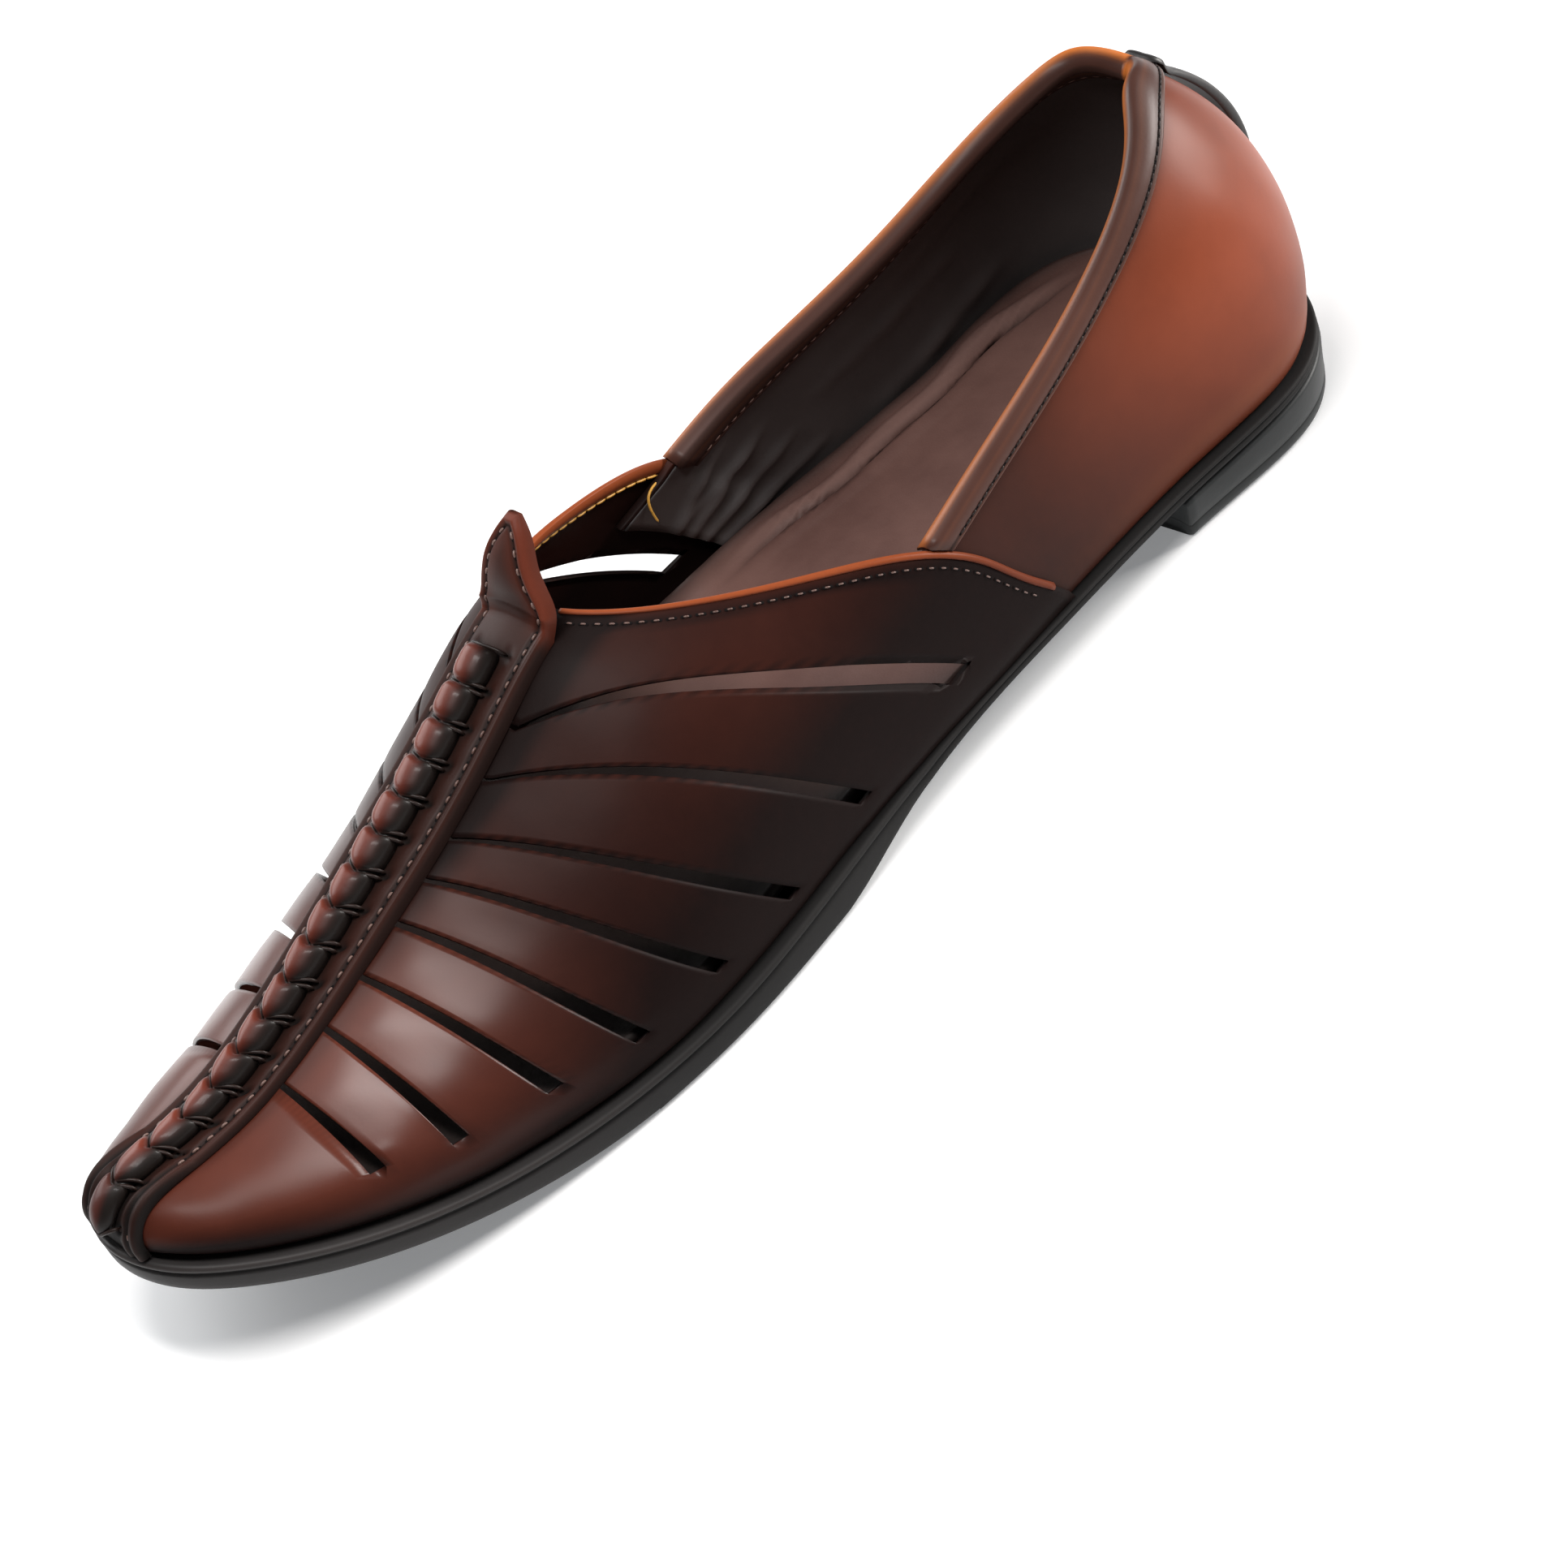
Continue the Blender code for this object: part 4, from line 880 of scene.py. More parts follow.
def makeLining():
    form = liningForm
    skin, folds = [], []
    rise = np.linspace(*form["ends"], form["rows"])
    for side, share, t, height, base, dents, covered in rearWall(form["front"], rise, form["steps"], form["offset"]):
        fold = liningFold(side, distance(t), height) + softDents(base, form["dents"])
        fold *= smooth(share, 0.0, 0.06)
        dents = dents - quarterForm["sunken"] * covered
        skin.append(wallPoint(side, t, height, form["offset"] + dents - np.maximum(fold, -0.05) - 0.1))
        folds.append(fold)
    shade = np.clip(0.5 - 0.5 * np.array(folds), 0, 1).T[::-1] * 0.5
    piece = gridPiece("quarterLining", np.array(skin).transpose(1, 0, 2)[::-1], 0.0, shade)
    applyModifier(piece, "SOLIDIFY", thickness=form["thickness"] / 1000, offset=-1)
    finishPiece(piece, ["liningLeather"], "leather")


makeLining()
print("lining made")

# Binding: a folded band round the collar, stitched outside near its edge and inside along the leg.
bindingForm = {
    "gap": 0.35, "innerRoom": 0.35, "thickness": 1.05, "outerDepth": 4.0, "innerDepth": 5.0,
    "outerSeam": 0.75, "innerSeam": 1.25,  # height of both seams over the ends of the legs
    "roll": 1.55, "steps": 84, "front": 118.0, "frontRoom": 0.7,
}
outerFace = quarterForm["offset"] + bindingForm["gap"]
innerFace = quarterForm["offset"] - quarterForm["wall"] - bindingForm["gap"] - bindingForm["innerRoom"]
seamFace = outerFace + bindingForm["thickness"] * 0.62


def toplineStationAt(height):
    def below(angle):
        t = station(toplineX(angle))
        return lastCurve["crown"](t) * np.sin(np.radians(angle)) ** (2 / lastCurve["fullness"](t)) < height

    return station(toplineX(halve(below, np.zeros_like(height), np.full_like(height, 85.0))))


def bindingFront(depth):  # where the band ends against the vamp, at each depth
    depth = np.maximum(np.asarray(depth, float), 0)
    t = np.full(depth.shape, station(bindingForm["front"]))
    for _ in range(10):
        t = toplineStationAt(collarHeight(t) - depth)
    return station(distance(t) - bindingForm["frontRoom"])


def bindingProfile():  # offset from the last, depth below the collar's edge, wear, turn over the fold or -1
    outer, inner, thick = outerFace, innerFace, bindingForm["thickness"]
    deep, leg = bindingForm["outerDepth"], bindingForm["innerDepth"]
    middle, half = (outer + inner) / 2, (outer - inner) / 2 + thick
    outerLeg = [
        (outer, deep - 0.1, 0), (outer + 0.35, deep + 0.02, 0), (outer + thick * 0.72, deep - 0.08, 0.15),
        (outer + thick * 0.86, deep - 0.35, 0.1), (seamFace, deep - bindingForm["outerSeam"], 0),
        (outer + thick * 0.88, deep - 1.2, 0), (outer + thick, deep - 1.8, 0), (outer + thick + 0.05, 1.6, 0.05),
        (outer + thick, 1.0, 0.25),
    ]
    innerLeg = [
        (inner - thick, 1.2, 0.2), (inner - thick, 2.2, 0.05), (inner - thick * 0.95, leg - 1.7, 0),
        (inner - thick * 0.55, leg - bindingForm["innerSeam"], 0), (inner - thick * 0.9, leg - 0.8, 0),
        (inner - thick * 0.8, leg - 0.25, 0), (inner - thick * 0.4, leg, 0), (inner, leg - 0.05, 0),
        (inner, 1.0, 0), (inner, -0.3, 0), (outer, -0.3, 0), (outer, 1.2, 0), (outer, deep - 0.1, 0),
    ]
    fold = []
    for turn in range(0, 181, 15):
        roll = math.radians(turn)
        fold.append((middle + half * math.cos(roll), 0.55 - bindingForm["roll"] * math.sin(roll), 0, turn))
    return np.array([(*row, -1) for row in outerLeg] + fold + [(*row, -1) for row in innerLeg]).T


def bindingPoint(side, share, offset, depth, front):
    t = share * front
    height = collarHeight(t)
    base = wallPoint(side, t, height - np.maximum(depth, 0), offset)
    upwards = unit(wallPoint(side, t, height, 0.0) - wallPoint(side, t, height - 2.0, 0.0))
    return base + upwards * np.maximum(-depth, 0)[..., None]


def makeBinding():
    offset, depth, worn, turn = bindingProfile()
    front = bindingFront(depth)
    # the orange fold tone sits where light catches the roll: top and inner side of the near roll, outer side of the far
    # roll, strongest at the back; partly worn edge, partly painted highlight
    near, far = smooth(turn, 40, 88) * (1 - 0.5 * smooth(turn, 150, 180)), 1 - smooth(turn, 35, 85)
    rings, wearAndHighlights = [], []
    for side, share in aroundHeel(bindingForm["steps"]):
        rings.append(bindingPoint(side, share, offset, depth, front))
        if side > 0:
            wearAndHighlights.append(np.where(turn < 0, 0.3 * worn, near) * (0.58 + 0.42 * (1 - smooth(share, 0.02, 0.5))))
        else:
            wearAndHighlights.append(np.where(turn < 0, worn, far) * (0.62 + 0.38 * (1 - share)))
    seam = (np.abs(depth - bindingForm["outerDepth"] + bindingForm["outerSeam"]) < 0.05) & (offset > seamFace - 0.1)
    # the seam line is darkened, and the inner leg by painted shade inside the collar
    shade = 0.7 * seam + 0.5 * (offset < -3.0)
    piece = gridPiece("collarFold", np.array(rings), np.array(wearAndHighlights), shade, closed=True)
    finishPiece(piece, ["bindingLeather"], "binding_leather", "collar_binding")


makeBinding()
print("binding made")

backForm = {"halfWidth": 4.4, "thickness": 1.0, "gap": 0.25, "bow": 3.2, "across": 17, "stations": 34}


def makeBackStrip():
    across = np.linspace(-1, 1, backForm["across"])
    crown = collarHeight(0.0)
    slope = lastCurve["halfWidth"](0.01) / 0.01
    below, over = quarterForm["offset"] + backForm["gap"], outerFace + bindingForm["thickness"] + 0.18
    path = [(height, below, 1.0) for height in np.linspace(0.6, crown - 5.0, backForm["stations"])]
    path += [  # height, offset and share of the width, up over the binding
        (crown - 4.4, below + 0.35, 1.0), (crown - 3.9, over - 0.5, 0.98), (crown - 3.3, over, 0.95),
        (crown - 2.4, over + 0.02, 0.85), (crown - 1.7, over - 0.25, 0.70), (crown - 1.3, over - 0.7, 0.5),
    ]
    rounded = backForm["thickness"] * np.sqrt(np.clip(1 - np.abs(across) ** 6, 0.02, 1))
    rings = []
    for height, offset, width in path:
        reach = math.cos(math.radians(float(angleAtHeight(0.0, height)))) ** (2 / float(lastCurve["fullness"](0.0)))
        t = np.abs(across) * backForm["halfWidth"] * width / (reach * slope)
        bow = backForm["bow"] * math.sin(math.pi * min(max((height - 1) / (crown - 5), 0), 1)) ** 0.8
        low, high = (
            np.where(across[:, None] < 0, wallPoint(-1, t, height, away), wallPoint(1, t, height, away))
            for away in (np.full(len(t), offset + bow * 0.55), offset + bow + rounded)
        )
        rings.append(np.concatenate([low, high[::-1], low[:1]]))
    finishPiece(gridPiece("heelTape", np.array(rings), closed=True), ["blackLeather"], "black_leather", "back_strip")


makeBackStrip()
print("back strip made")


# Strap: a folded band over the ridge that ends in the pointed tab above the throat.
def strapGrid(share, across):
    share, across = np.broadcast_arrays(share, across)
    start = float(station(strapForm["start"]))
    aside = across * strapCurve["halfWidth"](1.0)

    def wideEnough(t):
        edge = np.where(aside >= 0, 0.0, 180.0)
        return np.abs(facePoint(t, edge)[..., 1] - lastCurve["crownCentre"](t)) > np.abs(aside)

    end = halve(wideEnough, np.full(share.shape, 0.8), np.ones(share.shape))
    t = start + (end - start) * share
    angle = angleBesideCrown(t, across * strapCurve["halfWidth"](t))
    atEnd = share > 1 - 1e-6
    return t, np.where(atEnd & (aside > 0), 0.0, np.where(atEnd & (aside < 0), 180.0, angle))


def strapFrame():  # base points, normals, half widths and thicknesses from the tab's point to the toe
    across = np.linspace(-1, 1, strapForm["across"])
    middle = len(across) // 2
    t, angle = strapGrid((1 - np.linspace(1, 0, strapForm["stations"]) ** 1.25)[:, None], across)
    base, normal = lastPoint(t, angle, strapForm["offset"]), faceNormal(t, angle)
    half, thick = strapCurve["halfWidth"](t[:, middle]), strapCurve["thickness"](t[:, middle])
    foot = base[0][middle]
    rows = [(foot[0], foot[2], half[0], thick[0], 0.0), *strapForm["tab"]]
    tab = curvesOf(("row", "x", "z", "half", "thick", "sway"), [(place, *row) for place, row in enumerate(rows)])
    arch = base[0] - foot
    arch[:, 1] = 0
    last = len(rows) - 1
    bases, normals, halves, thicks = [], [], [], []
    for row in last * (1 - np.linspace(0, 1, strapForm["tabStations"], endpoint=False) ** 1.35):
        after, before = min(row + 0.02, last), max(row - 0.02, 0.0)
        forward = unit(np.array([tab["z"](after) - tab["z"](before), 0, tab["x"](before) - tab["x"](after)]))
        blend = smooth(row, 0.0, 1.3)
        wide = max(float(tab["half"](row)), 0.35)
        cup = -0.05 * (across * wide) ** 2 * 0.5 * smooth(row, 0.5, 3.0)  # the tab's sides curl back a little
        points = np.array([tab["x"](row), foot[1] + tab["sway"](row), tab["z"](row)]) + arch * (1 - row / last)
        points = points + across[:, None] * wide * np.array([0, 1.0, 0])
        bases.append(points + forward * cup[:, None])
        normals.append(unit(normal[0] * (1 - blend) + forward * blend))
        halves.append(wide)
        thicks.append(float(tab["thick"](row)))
    parts = {"base": (bases, base), "normal": (normals, normal), "half": (halves, half), "thick": (thicks, thick)}
    parts = {key: np.concatenate(pair) for key, pair in parts.items()}
    return {"across": across, "along": lengthsAlong(parts["base"][:, middle]), **parts}


strap = strapFrame()
strapStart, strapLength = strap["along"][strapForm["tabStations"]], strap["along"][-1]
braidForm = {
    "count": 16, "start": 6.6, "end": 2.0, "halfWidth": 3.0, "height": 3.7, "toeHeight": 0.55, "aside": -0.4,
    "steps": 15, "around": 19, "under": 9, "lean": 0.12, "fadeFrom": 0.7,
    "widths": (0.62, 0.40, 0.03), "heights": (0.42, 0.62, 0.05),  # at the waist, more at the belly, unevenness
}
waists = np.linspace(strapStart + braidForm["start"], strapLength - braidForm["end"], braidForm["count"] + 1)


def strapRelief():  # height over the base, worn edges and shade
    half, thick = strap["half"], strap["thick"][:, None]
    aside = strap["across"][None, :] * half[:, None]
    along = np.broadcast_to(strap["along"][:, None], aside.shape)
    outline = [np.stack([strap["along"], side * half, 0 * half], -1) for side in (1, -1)]
    outline.append(np.stack([np.zeros(12), np.linspace(-half[0], half[0], 12), np.zeros(12)], -1))
    inward = nearest(np.stack([along, aside, 0 * aside], -1), np.concatenate(outline))
    onStrap = smooth(along, waists[0] - 2.5, waists[0] + 1.0)
    top = thick * np.sqrt(np.clip(1 - (1 - np.minimum(inward / strapForm["rounding"], 1)) ** 2, 0, 1))
    tall, place, wide = strapForm["bead"]
    deep, narrow = strapForm["seam"]
    seam = inward - strapForm["stitchIn"]
    top = top + tall * bump(inward, place, wide) - deep * bump(seam, 0, narrow)
    deep, wide = strapForm["trough"]
    trough = np.exp(-((np.abs(aside) / wide) ** 4)) * onStrap
    top = top - deep * trough
    deep, place, wide, long = strapForm["hole"]
    holes = np.zeros_like(top)
    for waist in waists:
        for side in (-place, place):
            holes += np.exp(-(((aside - side) / wide) ** 2) - (((along - waist) / long) ** 2))
    top = top - deep * np.minimum(holes, 1.2)
    tall, place, wide = strapForm["pucker"]
    waves = np.cos((along - waists[0]) / (waists[1] - waists[0]) * 2 * math.pi)
    top = top - tall * (bump(np.abs(aside), place, wide) * waves * onStrap)  # the edge puckers between the wraps
    tall, long = strapForm["lobe"]
    lobe = np.sin(math.pi * np.minimum(np.clip((along - (strapLength - long)) / long, 0, 1), 0.85))
    top = top + tall * lobe * smooth(np.abs(aside), 3.0, 5.0) * (1 - smooth(np.abs(aside), 7.2, 8.2))
    places = {"inward": inward, "seam": seam, "start": along - strapStart, "end": strapLength - along}
    wear, shade, toeWear = (maskSum(strapForm[key], **places) for key in ("wear", "shade", "toeWear"))
    shade = shade + strapForm["holeShade"] * np.minimum(holes, 1) + strapForm["troughShade"] * trough
    return top, np.clip(wear, 0, 1) * toeWear, shade


def makeStrap():
    top, wear, shade = strapRelief()
    upper = strap["base"] + strap["normal"] * top[..., None]
    rings = np.concatenate([upper, strap["base"][:, ::-1], upper[:, :1]], axis=1)
    wear = np.concatenate([wear, 0.6 * wear[:, ::-1], wear[:, :1]], axis=1)
    shade = np.concatenate([shade, 0 * shade + 0.6, shade[:, :1]], axis=1)
    piece = gridPiece("strapBand", closeEnds(rings, 0.35, 0.35), repeatEnds(wear), repeatEnds(shade), closed=True)
    finishPiece(piece, ["strapLeather"], "strap_leather", "centre_strap")


makeStrap()
print("strap made")


def onStrapAt(along, aside, lift):  # a point over the strap's base, by its distances along and aside
    along, aside = np.broadcast_arrays(along, aside)
    row = np.interp(along, strap["along"], np.arange(len(strap["along"])))
    low = np.clip(np.floor(row).astype(int), 0, len(strap["along"]) - 2)
    part = (row - low)[..., None]
    half = np.interp(along, strap["along"], strap["half"])
    column = (np.clip(aside / half, -1, 1) + 1) / 2 * (len(strap["across"]) - 1)
    first = np.clip(np.floor(column).astype(int), 0, len(strap["across"]) - 2)
    mix = (column - first)[..., None]

    def blend(values):
        upper = values[low, first] * (1 - mix) + values[low, first + 1] * mix
        lower = values[low + 1, first] * (1 - mix) + values[low + 1, first + 1] * mix
        return upper * (1 - part) + lower * part

    normal = unit(blend(strap["normal"]))
    return blend(strap["base"]) + normal * np.asarray(lift, float)[..., None], normal


def strapThickness(along):
    return np.interp(along, strap["along"], strap["thick"])


def braidFade(share):  # the braid gets lower over its last third
    fadeFrom = braidForm["fadeFrom"]
    return 1 - (1 - braidForm["toeHeight"]) * max(0.0, share - fadeFrom) / (1 - fadeFrom)


# Braid: sixteen rounded lozenges with two dark thread wraps at every waist.
def makeBraid():
    form = braidForm
    turn = np.radians(np.linspace(0, 180, form["around"]))
    cosine, sine = np.cos(turn), np.sin(turn)
    rings, shades, wearAndHighlights = [], [], []
    for place in range(form["count"] * form["steps"] + 1):
        bead = min(place // form["steps"], form["count"] - 1)
        w = (place - bead * form["steps"]) / form["steps"]
        along = waists[bead] * (1 - w) + waists[bead + 1] * w
        full = (1 - abs(2 * w - 1) ** 3.4) ** 0.5
        lean = form["lean"] * math.sin(bead * 2.7 + 1)
        waist, belly, change = form["widths"]
        width = form["halfWidth"] * (waist + belly * full) * (1 + change * math.sin(bead * 4.1))
        waist, belly, change = form["heights"]
        height = form["height"] * braidFade((along - waists[0]) / (waists[-1] - waists[0]))
        height = height * (waist + belly * full) * (1 + change * math.sin(bead * 1.9)) * (1.03 - 0.10 * w)
        aside = np.sign(cosine) * np.abs(cosine) ** 0.85 * width + lean * (w - 0.5) + form["aside"]
        thick = strapThickness(along)
        top, _ = onStrapAt(along, aside, thick - 0.45 + np.abs(sine) ** 0.8 * (height + 0.3))
        under, _ = onStrapAt(along, np.linspace(aside[-1], aside[0], form["under"] + 2)[1:-1], thick - 0.5)
        rings.append(np.concatenate([top, under, top[:1]]))
        toe = smooth(along, strapLength - 16, strapLength - 6)
        # painted shade: darker at the waists, along the foot of each bead, over the positive-aside half and towards the
        # toe
        shade = 0.85 * (1 - full) + 0.45 * (1 - np.abs(sine)) + 0.8 * smooth(cosine, 0.0, 0.8) + 0.3 * toe
        shades.append(np.concatenate([shade, np.ones(form["under"] + 1)]))
        # painted highlight down the other half of each bead
        wearAndHighlights.append(np.concatenate([0.5 * bump(cosine, -0.35, 0.5) * full * (1 - toe), np.zeros(form["under"] + 1)]))
    edge, shade = repeatEnds(np.array(wearAndHighlights)), repeatEnds(np.array(shades))
    piece = gridPiece("braidLozenges", closeEnds(np.array(rings), 0.0, 0.0), edge, shade, closed=True)
    finishPiece(piece, ["braidLeather"], "braid_leather", "braid")


makeBraid()
print("braid made")


def tubes(name, paths, radius, finishName, slot, sides=8):  # round threads along many short paths, in one mesh
    points, faces = [], []
    roll = 2 * math.pi * np.arange(sides)[:, None] / sides
    step = np.arange(sides)
    after = (step + 1) % sides
    for path in paths:
        tangent = unit(np.gradient(path, axis=0))
        guide = (0.0, 0.0, 1.0) if abs(tangent[:, 2]).mean() < 0.9 else (1.0, 0.0, 0.0)
        side = unit(np.cross(tangent, guide))
        up = np.cross(side, tangent)
        size = radius * np.where(np.isin(np.arange(len(path)), (0, len(path) - 1)), 0.25, 1.0)[:, None, None]
        rings = path[:, None] + size * (side[:, None] * np.cos(roll) + up[:, None] * np.sin(roll))
        for start in len(points) + sides * np.arange(len(path) - 1):
            faces += np.stack([start + step, start + after, start + sides + after, start + sides + step], -1).tolist()
        faces += [(len(points) + step[::-1]).tolist(), (len(points) + sides * (len(path) - 1) + step).tolist()]
        points += rings.reshape(-1, 3).tolist()
    piece = facesPiece(name, points, faces)
    makeActive(piece)
    editAll((bpy.ops.mesh.normals_make_consistent, {"inside": False}))
    bpy.ops.object.shade_smooth()
    finishPiece(piece, [finishName], slot)


wrapForm = {"radius": 0.34, "halfWidth": 3.55, "firstHalfWidth": 3.7, "gap": 0.42, "slant": 0.25, "steps": 15}


def makeWraps():
    paths, turn = [], np.linspace(0, math.pi, wrapForm["steps"])
    for index, waist in enumerate(waists):
        rise = braidForm["height"] * braidFade(index / braidForm["count"]) * 0.50 + 1.0
        aside = np.cos(turn) * wrapForm["halfWidth" if index else "firstHalfWidth"] + braidForm["aside"]
        lift = strapThickness(waist) - 1.0 + np.sin(turn) ** 0.7 * rise
        for sign in (-1, 1) if 0 < index < braidForm["count"] else (0,):
            along = waist + sign * wrapForm["gap"] + wrapForm["slant"] * np.cos(turn) * (sign or -1)
            paths.append(onStrapAt(along, aside, lift)[0])
    tubes("braidWraps", paths, wrapForm["radius"], "darkThread", "braid_leather")


makeWraps()
print("thread wraps made")

# Stitches: short threads that rise from one needle hole and dive into the next.
stitchForm = {  # pitch, radius, rise, share of the pitch that shows
    "strapStitches": (3.1, 0.24, 0.26, 0.40), "vampStitches": (2.5, 0.17, 0.22, 0.55),
    "hemThread": (3.0, 0.25, 0.14, 1.0), "collarStitches": (1.9, 0.19, 0.26, 0.7),
    "collarInnerStitches": (2.4, 0.22, 0.2, 0.7),
}
holeForm = {"long": 0.36, "wide": 0.30, "middle": 0.10, "rim": 0.02, "corners": 8}


def resample(path, normals, pitch):
    along = lengthsAlong(path)
    count = max(int(round(along[-1] / pitch)), 1)
    places = (np.arange(count * 8 + 1) / 8) * along[-1] / count
    points, turned = (np.stack([np.interp(places, along, row) for row in rows.T], -1) for rows in (path, normals))
    return points, unit(turned), count


def stitchRun(name, runs, finishName, slot, holes=True):
    pitch, radius, rise, length = stitchForm[name]
    span = int(round(8 * length / 2 + 0.01))
    paths, holePlaces = [], []
    for path, normals in runs:
        points, turned, count = resample(path, normals, pitch)
        last = len(points) - 1
        for middle in range(4, count * 8, 8):
            pick = np.clip(np.arange(middle - span, middle + span + 1), 0, last)
            lift = rise * np.sin(np.linspace(0, math.pi, len(pick))) - 0.10
            paths.append(points[pick] + turned[pick] * lift[:, None])
            for end in (pick[0], pick[-1]):
                along = unit(points[min(end + 1, last)] - points[max(end - 1, 0)])
                holePlaces.append((points[end], turned[end], along))
    tubes(name, paths, radius, finishName, slot, sides=6)
    if holes:
        needleHoles(name + "Holes", holePlaces, slot)


def needleHoles(name, places, slot):
    points, faces, corners = [], [], holeForm["corners"]
    for place, normal, along in places:
        side, start = np.cross(normal, along), len(points)
        points.append(place + normal * holeForm["middle"])  # a flat dark cone over the leather, painted shade standing in for the inside of the hole
        for step in range(corners):
            roll = 2 * math.pi * step / corners
            aside = along * math.cos(roll) * holeForm["long"] + side * math.sin(roll) * holeForm["wide"]
            points.append(place + aside + normal * holeForm["rim"])
        faces += [(start, start + 1 + step, start + 1 + (step + 1) % corners) for step in range(corners)]
        faces.append(tuple(start + 1 + step for step in reversed(range(corners))))
    finishPiece(facesPiece(name, points, faces), ["needleHoleShade"], slot)


def strapStitches():
    rows = np.arange(2, len(strap["along"]) - 4)
    along, half = strap["along"][rows], strap["half"][rows]
    inside = half - strapForm["stitchIn"] * np.sqrt(1 + np.gradient(half, along) ** 2)
    along, inside = along[inside > 0.3], inside[inside > 0.3]
    runs = [onStrapAt(along, inside * side, strapThickness(along) - 0.30) for side in (1, -1)]
    stitchRun("strapStitches", runs, "paleThread", "strap_leather")


strapStitches()
toplineForm = {
    "stitch": (2.5, 0.04, 5, 79), "hem": (2.15, -0.45, 6, 82),  # distance from the edge, lift, first and last angle
    "fold": (4, 82, 110), "worn": [(0.22,), (0.52, ("side", 10, 45))],
    "profile": [  # offset from the outer face, depth under the edge, wear
        (0.02, 0.85, 0.3), (0.22, 0.75, 0.5), (0.30, 0.55, 0.8), (0.28, 0.3, 1.0), (0.20, 0.0, 1.0),
        (-0.05, -0.28, 1.0), (-0.4, -0.46, 1.0),
    ],
    "innerProfile": [  # the same from the inner face
        (0.3, -0.42, 1.0), (-0.1, -0.12, 1.0), (-0.4, 0.4, 0.95), (-0.5, 0.9, 0.9), (-0.5, 1.5, 0.8),
        (-0.45, 1.95, 0.7), (-0.2, 2.1, 0.5), (0.1, 2.0, 0), (0.1, 0.4, 0),
    ],
    "tail": [(0, 0.2, 0), (4.0, 1.2, 2.0), (7.6, 1.8, 1.7), (8.6, 2.0, -1.2), (8.3, 2.0, -4.2)],  # x, inwards, up
    "tailFrom": 42,
}


def toplineRuns(fromEdge, offset, low, high):  # lines beside the vamp's top edge, on both sides
    runs = []
    for angle in (np.linspace(low, high, 160), 180 - np.linspace(low, high, 160)):
        t = guideStation(0, angle)
        edge = lastPoint(t, angle, offset)
        ahead = lastPoint(t + 0.002, angle, offset) - edge
        sine = np.linalg.norm(np.cross(unit(ahead), unit(np.gradient(edge, axis=0))), axis=-1)
        t = t + fromEdge / np.maximum(sine, 0.3) / (np.linalg.norm(ahead, axis=-1) / 0.002)
        runs.append((lastPoint(t, angle, offset), faceNormal(t, angle)))
    return runs


def vampStitches():
    fromEdge, lift, low, high = toplineForm["stitch"]
    stitchRun("vampStitches", toplineRuns(fromEdge, vampForm["offset"] + lift, low, high), "paleThread", "leather")


vampStitches()


def makeToplineFolds():  # the thin folded edge along the vamp's top, outside, over and down inside
    wall = vampForm["wall"]
    profile = toplineForm["profile"] + [(-wall / 2, -0.52, 1.0)]
    profile += [(offset - wall, depth, wear) for offset, depth, wear in toplineForm["innerProfile"]]
    profile += [(-0.1, 0.4, 0), (-0.1, 0.75, 0), profile[0]]
    side = np.linspace(*toplineForm["fold"])
    for name, angle in (("leftToplineFold", side), ("rightToplineFold", 180 - side[::-1])):
        t = guideStation(0, angle)
        edge, normal = lastPoint(t, angle, vampForm["offset"]), faceNormal(t, angle)
        inward = unit(np.cross(normal, unit(np.gradient(edge, axis=0))))
        ahead = lastPoint(t + 0.002, angle, vampForm["offset"]) - edge
        inward *= np.sign((inward * ahead).sum(axis=-1))[:, None]
        rings = np.stack([edge + normal * offset + inward * depth for offset, depth, _ in profile], 1)
        worn = maskSum(toplineForm["worn"], side=np.minimum(angle, 180 - angle))
        wear = np.array([row[2] for row in profile]) * worn[:, None]
        finishPiece(gridPiece(name, rings, wear, closed=True), ["vampLeather"], "leather")


makeToplineFolds()


def hemThread():  # the yellow thread that holds the fold down inside, with its loose end
    fromEdge, lift, low, high = toplineForm["hem"]
    runs = toplineRuns(fromEdge, vampForm["offset"] - vampForm["wall"] + lift, low, high)
    runs = [(path, -normal) for path, normal in runs]
    stitchRun("hemThread", runs, "yellowThread", "leather", holes=False)
    start, inside = (values[toplineForm["tailFrom"]] for values in runs[1])
    curves = [naturalSpline(range(5), column) for column in zip(*toplineForm["tail"])]
    forward, inwards, up = (curve(np.linspace(0, 4, 28)) for curve in curves)
    tail = start + np.stack([forward, 0 * forward, up], -1) + inside * inwards[:, None]
    tubes("looseThreadEnd", [tail], stitchForm["hemThread"][1], "yellowThread", "leather")


hemThread()


def collarRun(offset, away, depth):  # round the collar from wing to wing, at one depth under its edge
    shares, front = np.linspace(1, 0, 121)[2:], bindingFront(np.array([depth]))

    def lineAt(face):
        left, right = (bindingPoint(side, shares, face, np.full(len(shares), depth), front) for side in (1, -1))
        return np.concatenate([left, right[::-1][1:]])

    path = lineAt(offset)
    return [(path, unit(lineAt(offset + away) - path))]


def collarStitches():
    outer = collarRun(seamFace + 0.08, 0.5, bindingForm["outerDepth"] - bindingForm["outerSeam"])
    inner = innerFace - bindingForm["thickness"] * 0.55 - 0.08
    inner = collarRun(inner, -0.5, bindingForm["innerDepth"] - bindingForm["innerSeam"])
    stitchRun("collarStitches", outer, "darkThread", "binding_leather")
    stitchRun("collarInnerStitches", inner, "rosyThread", "binding_leather", holes=False)


collarStitches()
print("stitches made")

# Camera, lights and floor.
cameraView = {
    "at": (364.12, 407.54, 375.64), "down": (0.65762, 0.29416, -0.69355), "forward": (-0.36759, -0.6783, -0.63623),
    "sensor": 36, "lens": 74.53416149068323,
}


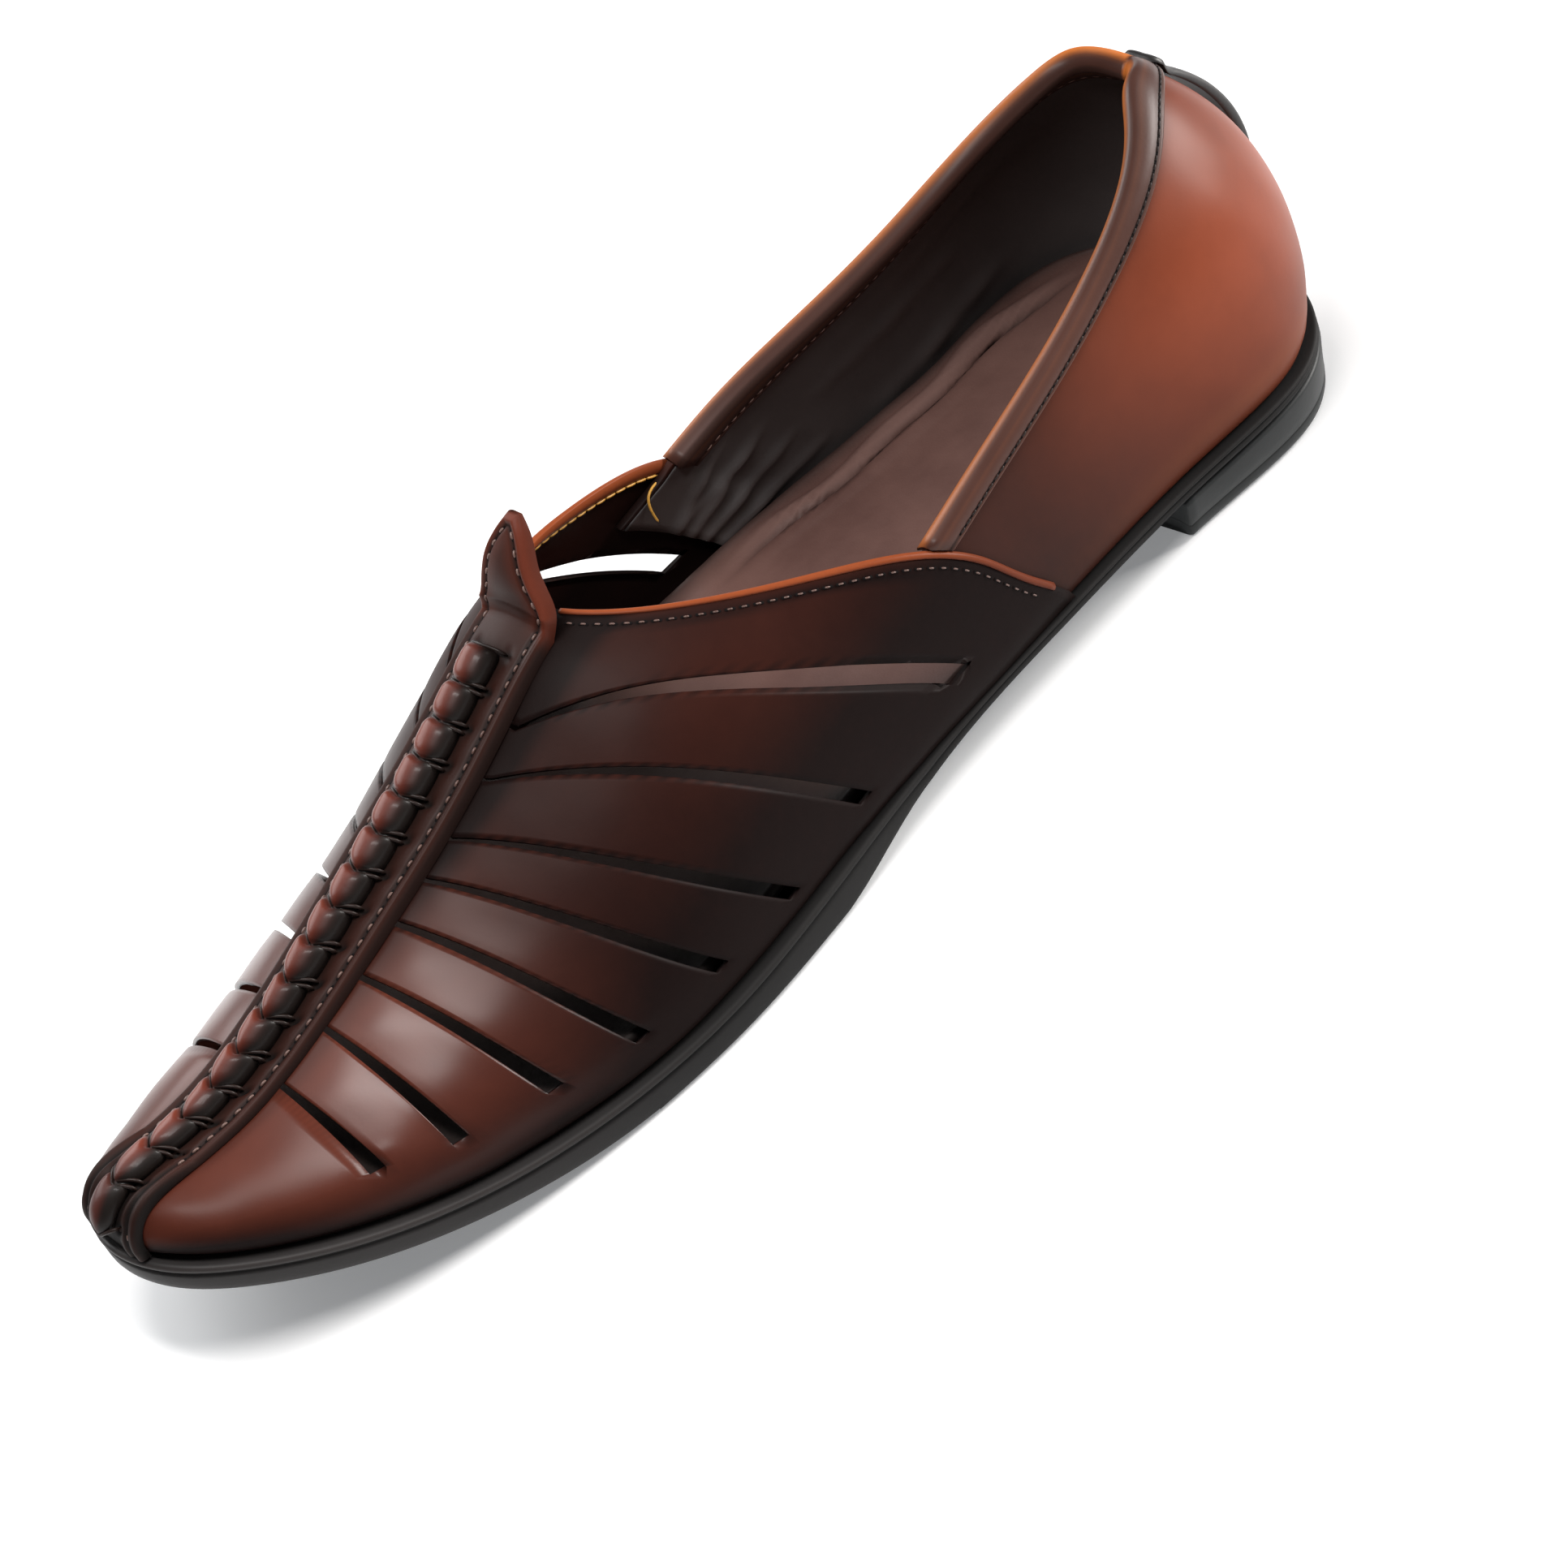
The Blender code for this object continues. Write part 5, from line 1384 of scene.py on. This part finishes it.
def makeCamera():
    down, forward = np.array(cameraView["down"]), np.array(cameraView["forward"])
    down = unit(down - forward * (down @ forward))
    place = placed(np.array(cameraView["at"]))
    camera = bpy.data.objects.new("camera", bpy.data.cameras.new("camera"))
    bpy.context.scene.collection.objects.link(camera)
    columns = [*np.cross(down, forward), 0], [*-down, 0], [*-forward, 0], [*place, 1]
    camera.matrix_world = Matrix(columns).transposed()
    camera.data.sensor_width = cameraView["sensor"]
    camera.data.lens = cameraView["lens"]
    camera.data.clip_start, camera.data.clip_end = 0.01, 50
    bpy.context.scene.camera = camera


lightRows = [  # name, place, aim, size, power, colour; in metres and watts
    ("overhead", (0.1, -0.6, 1.5), (0, 0, 0), (1.2, 0.8), 6, (1, 1, 1)),
    ("farSide", (0.15, -1.35, 0.75), (0.02, 0, 0.04), (1.4, 0.8), 17, (1, 1, 1)),
    ("behindHeel", (-1.25, 0.45, 0.55), (-0.08, 0, 0.04), (0.6, 0.5), 24, (1.0, 0.97, 0.94)),
    ("overToe", (0.098, 0.09, 0.36), (0.108, 0.03, 0), (0.055, 0.24), 1.15, (1.0, 0.97, 0.95)),
]


def softLight(name, place, aim, size, power, colour):
    lamp = bpy.data.lights.new(name, "AREA")
    lamp.shape, (lamp.size, lamp.size_y) = "RECTANGLE", size
    lamp.energy, lamp.color = power, colour
    holder = bpy.data.objects.new(name, lamp)
    bpy.context.scene.collection.objects.link(holder)
    holder.location = place
    holder.rotation_euler = (Vector(aim) - Vector(place)).to_track_quat("-Z", "Y").to_euler()


floorForm = {
    "size": 12, "under": 0.0004, "driftScale": 3.0, "dim": (0.86, 0.87, 0.875), "bright": (0.89, 0.895, 0.90),
    "glow": (0.96, 0.98, 1.0, 1), "glowStrength": 0.22, "rough": 0.8, "specular": 0.15,
    "sky": (0.93, 0.95, 1.0, 1), "skyStrength": 0.10,
}


def makeFloor():
    bpy.ops.object.select_all(action="DESELECT")
    bpy.ops.mesh.primitive_plane_add(size=floorForm["size"], location=(0, 0, -floorForm["under"]))
    floor = bpy.context.object
    floor.name = "paleFloor"
    paper = bpy.data.materials.new("palePaper")
    paper.use_nodes = True
    tone = addNode(paper.node_tree, "Group", {"Scale": floorForm["driftScale"]}, node_tree=driftGroup).outputs["Tone"]
    setInputs(paper.node_tree, paper.node_tree.nodes["Principled BSDF"], {
        "Base Color": mixColour(paper.node_tree, tone, floorForm["dim"], floorForm["bright"]),
        "Emission Color": floorForm["glow"], "Emission Strength": floorForm["glowStrength"],
        "Roughness": floorForm["rough"], "Specular IOR Level": floorForm["specular"],
    })
    floor.data.materials.append(paper)


makeCamera()
makeFloor()
for row in lightRows:
    softLight(*row)
world = bpy.data.worlds.new("studio")
world.use_nodes = True
sky = {"Color": floorForm["sky"], "Strength": floorForm["skyStrength"]}
setInputs(world.node_tree, world.node_tree.nodes["Background"], sky)
bpy.context.scene.world = world
bpy.context.scene.view_settings.view_transform = "Standard"
print("camera, lights and floor made")
